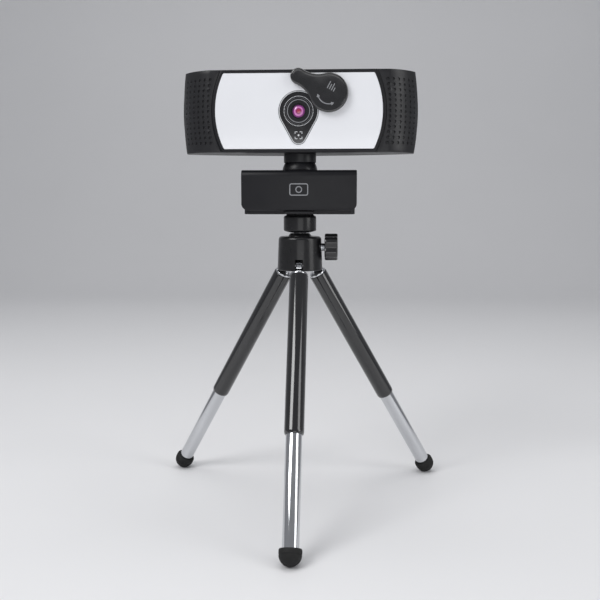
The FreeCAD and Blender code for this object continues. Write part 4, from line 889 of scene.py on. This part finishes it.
FOOT, WALL_BACK, WALL_FRONT, FOOT_BEND, TOE = low("clip_leg")[2], 11.0, 7.5, 2.0, -4.65
drop_z = np.linspace(146.4, 142.0, 5)
front_y = np.concatenate([np.linspace(7.0, TOE, 5), TOE - 3 * late])
foot_half = np.where(front_y < TOE, narrowed(LEG_HALF, 3.0, front_y - TOE), LEG_HALF)
outer = np.concatenate([pairs(WALL_BACK, drop_z),
                        pairs(WALL_BACK - FOOT_BEND + FOOT_BEND * np.cos(t),
                              FOOT + FOOT_BEND - FOOT_BEND * np.sin(t)),
                        pairs(front_y, FOOT)])
inner = np.concatenate([pairs(WALL_FRONT, drop_z),
                        pairs(WALL_FRONT - np.linspace(0, 0.05, 10), FOOT + FOOT_THICK),
                        pairs(front_y, FOOT + FOOT_THICK)])
half = np.concatenate([[23.2, 24.6], np.full(13, LEG_HALF), foot_half])
web = plate([(10.8, 149.0), (10.8, 146.0)], [(8.0, 149.0), (8.0, 146.0)], 14.9)
tab = plate([(-6.6, 134.45), (-9.9, 134.45), (-10.5, 134.6)], [(-6.6, 135.75), (-9.9, 135.75), (-10.5, 135.5)],
            [6.75, 6.75, 6.1])
piece("clip_leg_plate", *join(plate(outer, inner, half), hinge_barrel(-15, 30), web, tab), "clip_leg",
      clip_satin, "clip_leg", "clip_black", weld=1e-7)
print("neck and clip made")

# %% Mark on the clip
mark_y = low("clip_bridge")[1]
PRINT = (mark_y - 0.05, mark_y + 0.02)
mark_at = (0.0, (low("clip_bridge")[2] + CLIP_TOP) / 2 + 0.3)
frame_mark = rounded_rectangle(4.2, 2.7, 1.0)
rings = printed_band(frame_mark, 0.45, mark_at)
eye_mark = printed_band(1.5 * np.stack([np.cos(quarter), np.sin(quarter)], 1), 0.45, mark_at)
piece("clip_mark", *join(rings, eye_mark), "clip_bridge", grey_print, slot="clip_black")

# %% [markdown]
# ## Floor, light and camera
# A floor that curves up behind the object has no horizon line. Four large lamps give soft shadows: one key from
# the upper left, a weaker fill from the right, one from above, and a low one in front for the face.
# The camera stands a little higher than the middle and looks slightly down, with a moderate angle of view.

# %% Floor, light and camera
floor_material = finish("pale_floor", (0.80, 0.80, 0.81), 0.55, grain=(200, 0.05), cloud=(4, 0.01))
floor_mesh = bpy.data.meshes.new("floor")
t = np.linspace(0, np.pi / 2, 12)
back = np.stack([0.8 + 0.5 * np.sin(t), 0.5 - 0.5 * np.cos(t)], 1)
line = np.concatenate([[[-2.5, 0.0]], back, [[1.3, 2.8]]])
across = np.array([-2.5, 2.5])
grid = np.stack([np.repeat(across, len(line)), np.tile(line[:, 0], 2), np.tile(line[:, 1], 2)], 1)
n = len(line)
floor_mesh.from_pydata(grid.tolist(), [], [(k, n + k, n + k + 1, k + 1) for k in range(n - 1)])
floor = bpy.data.objects.new("floor", floor_mesh)
bpy.context.collection.objects.link(floor)
floor_mesh.materials.append(floor_material)
for f in floor_mesh.polygons:
    f.use_smooth = True


def area_light(name, place, aim, size, power, tint=(1, 1, 1)):
    lamp = bpy.data.lights.new(name, "AREA")
    lamp.shape, lamp.size, lamp.size_y, lamp.energy, lamp.color = "RECTANGLE", size[0], size[1], power, tint
    thing = bpy.data.objects.new(name, lamp)
    thing.location = place
    thing.rotation_euler = (Vector(aim) - Vector(place)).to_track_quat("-Z", "Y").to_euler()
    bpy.context.collection.objects.link(thing)


area_light("key_left", (-0.55, -0.55, 0.75), (0, 0, 0.14), (0.5, 0.5), 5.0)
area_light("fill_right", (0.75, -0.35, 0.40), (0, 0, 0.12), (0.35, 0.7), 2.0)
area_light("top", (0.0, 0.05, 0.95), (0, 0, 0.1), (0.8, 0.5), 3.2)
area_light("front_low", (0.1, -0.9, 0.12), (0, 0, 0.12), (0.6, 0.25), 0.7)
world = bpy.data.worlds.new("studio")
world.use_nodes = True
world.node_tree.nodes["Background"].inputs["Color"].default_value = (0.93, 0.95, 1.0, 1)
world.node_tree.nodes["Background"].inputs["Strength"].default_value = 0.30
bpy.context.scene.world = world
bpy.context.scene.view_settings.view_transform = "Standard"

eye, aim = Vector((0.018, -0.352, 0.138)), Vector((0.0, 0.0, 0.0945))
camera_data = bpy.data.cameras.new("camera")
camera_data.sensor_fit = "VERTICAL"
camera_data.angle = math.radians(43.0)
camera = bpy.data.objects.new("camera", camera_data)
camera.location = eye
camera.rotation_euler = (aim - eye).to_track_quat("-Z", "Y").to_euler()
bpy.context.collection.objects.link(camera)
bpy.context.scene.camera = camera
print("camera at", tuple(round(c, 3) for c in eye))
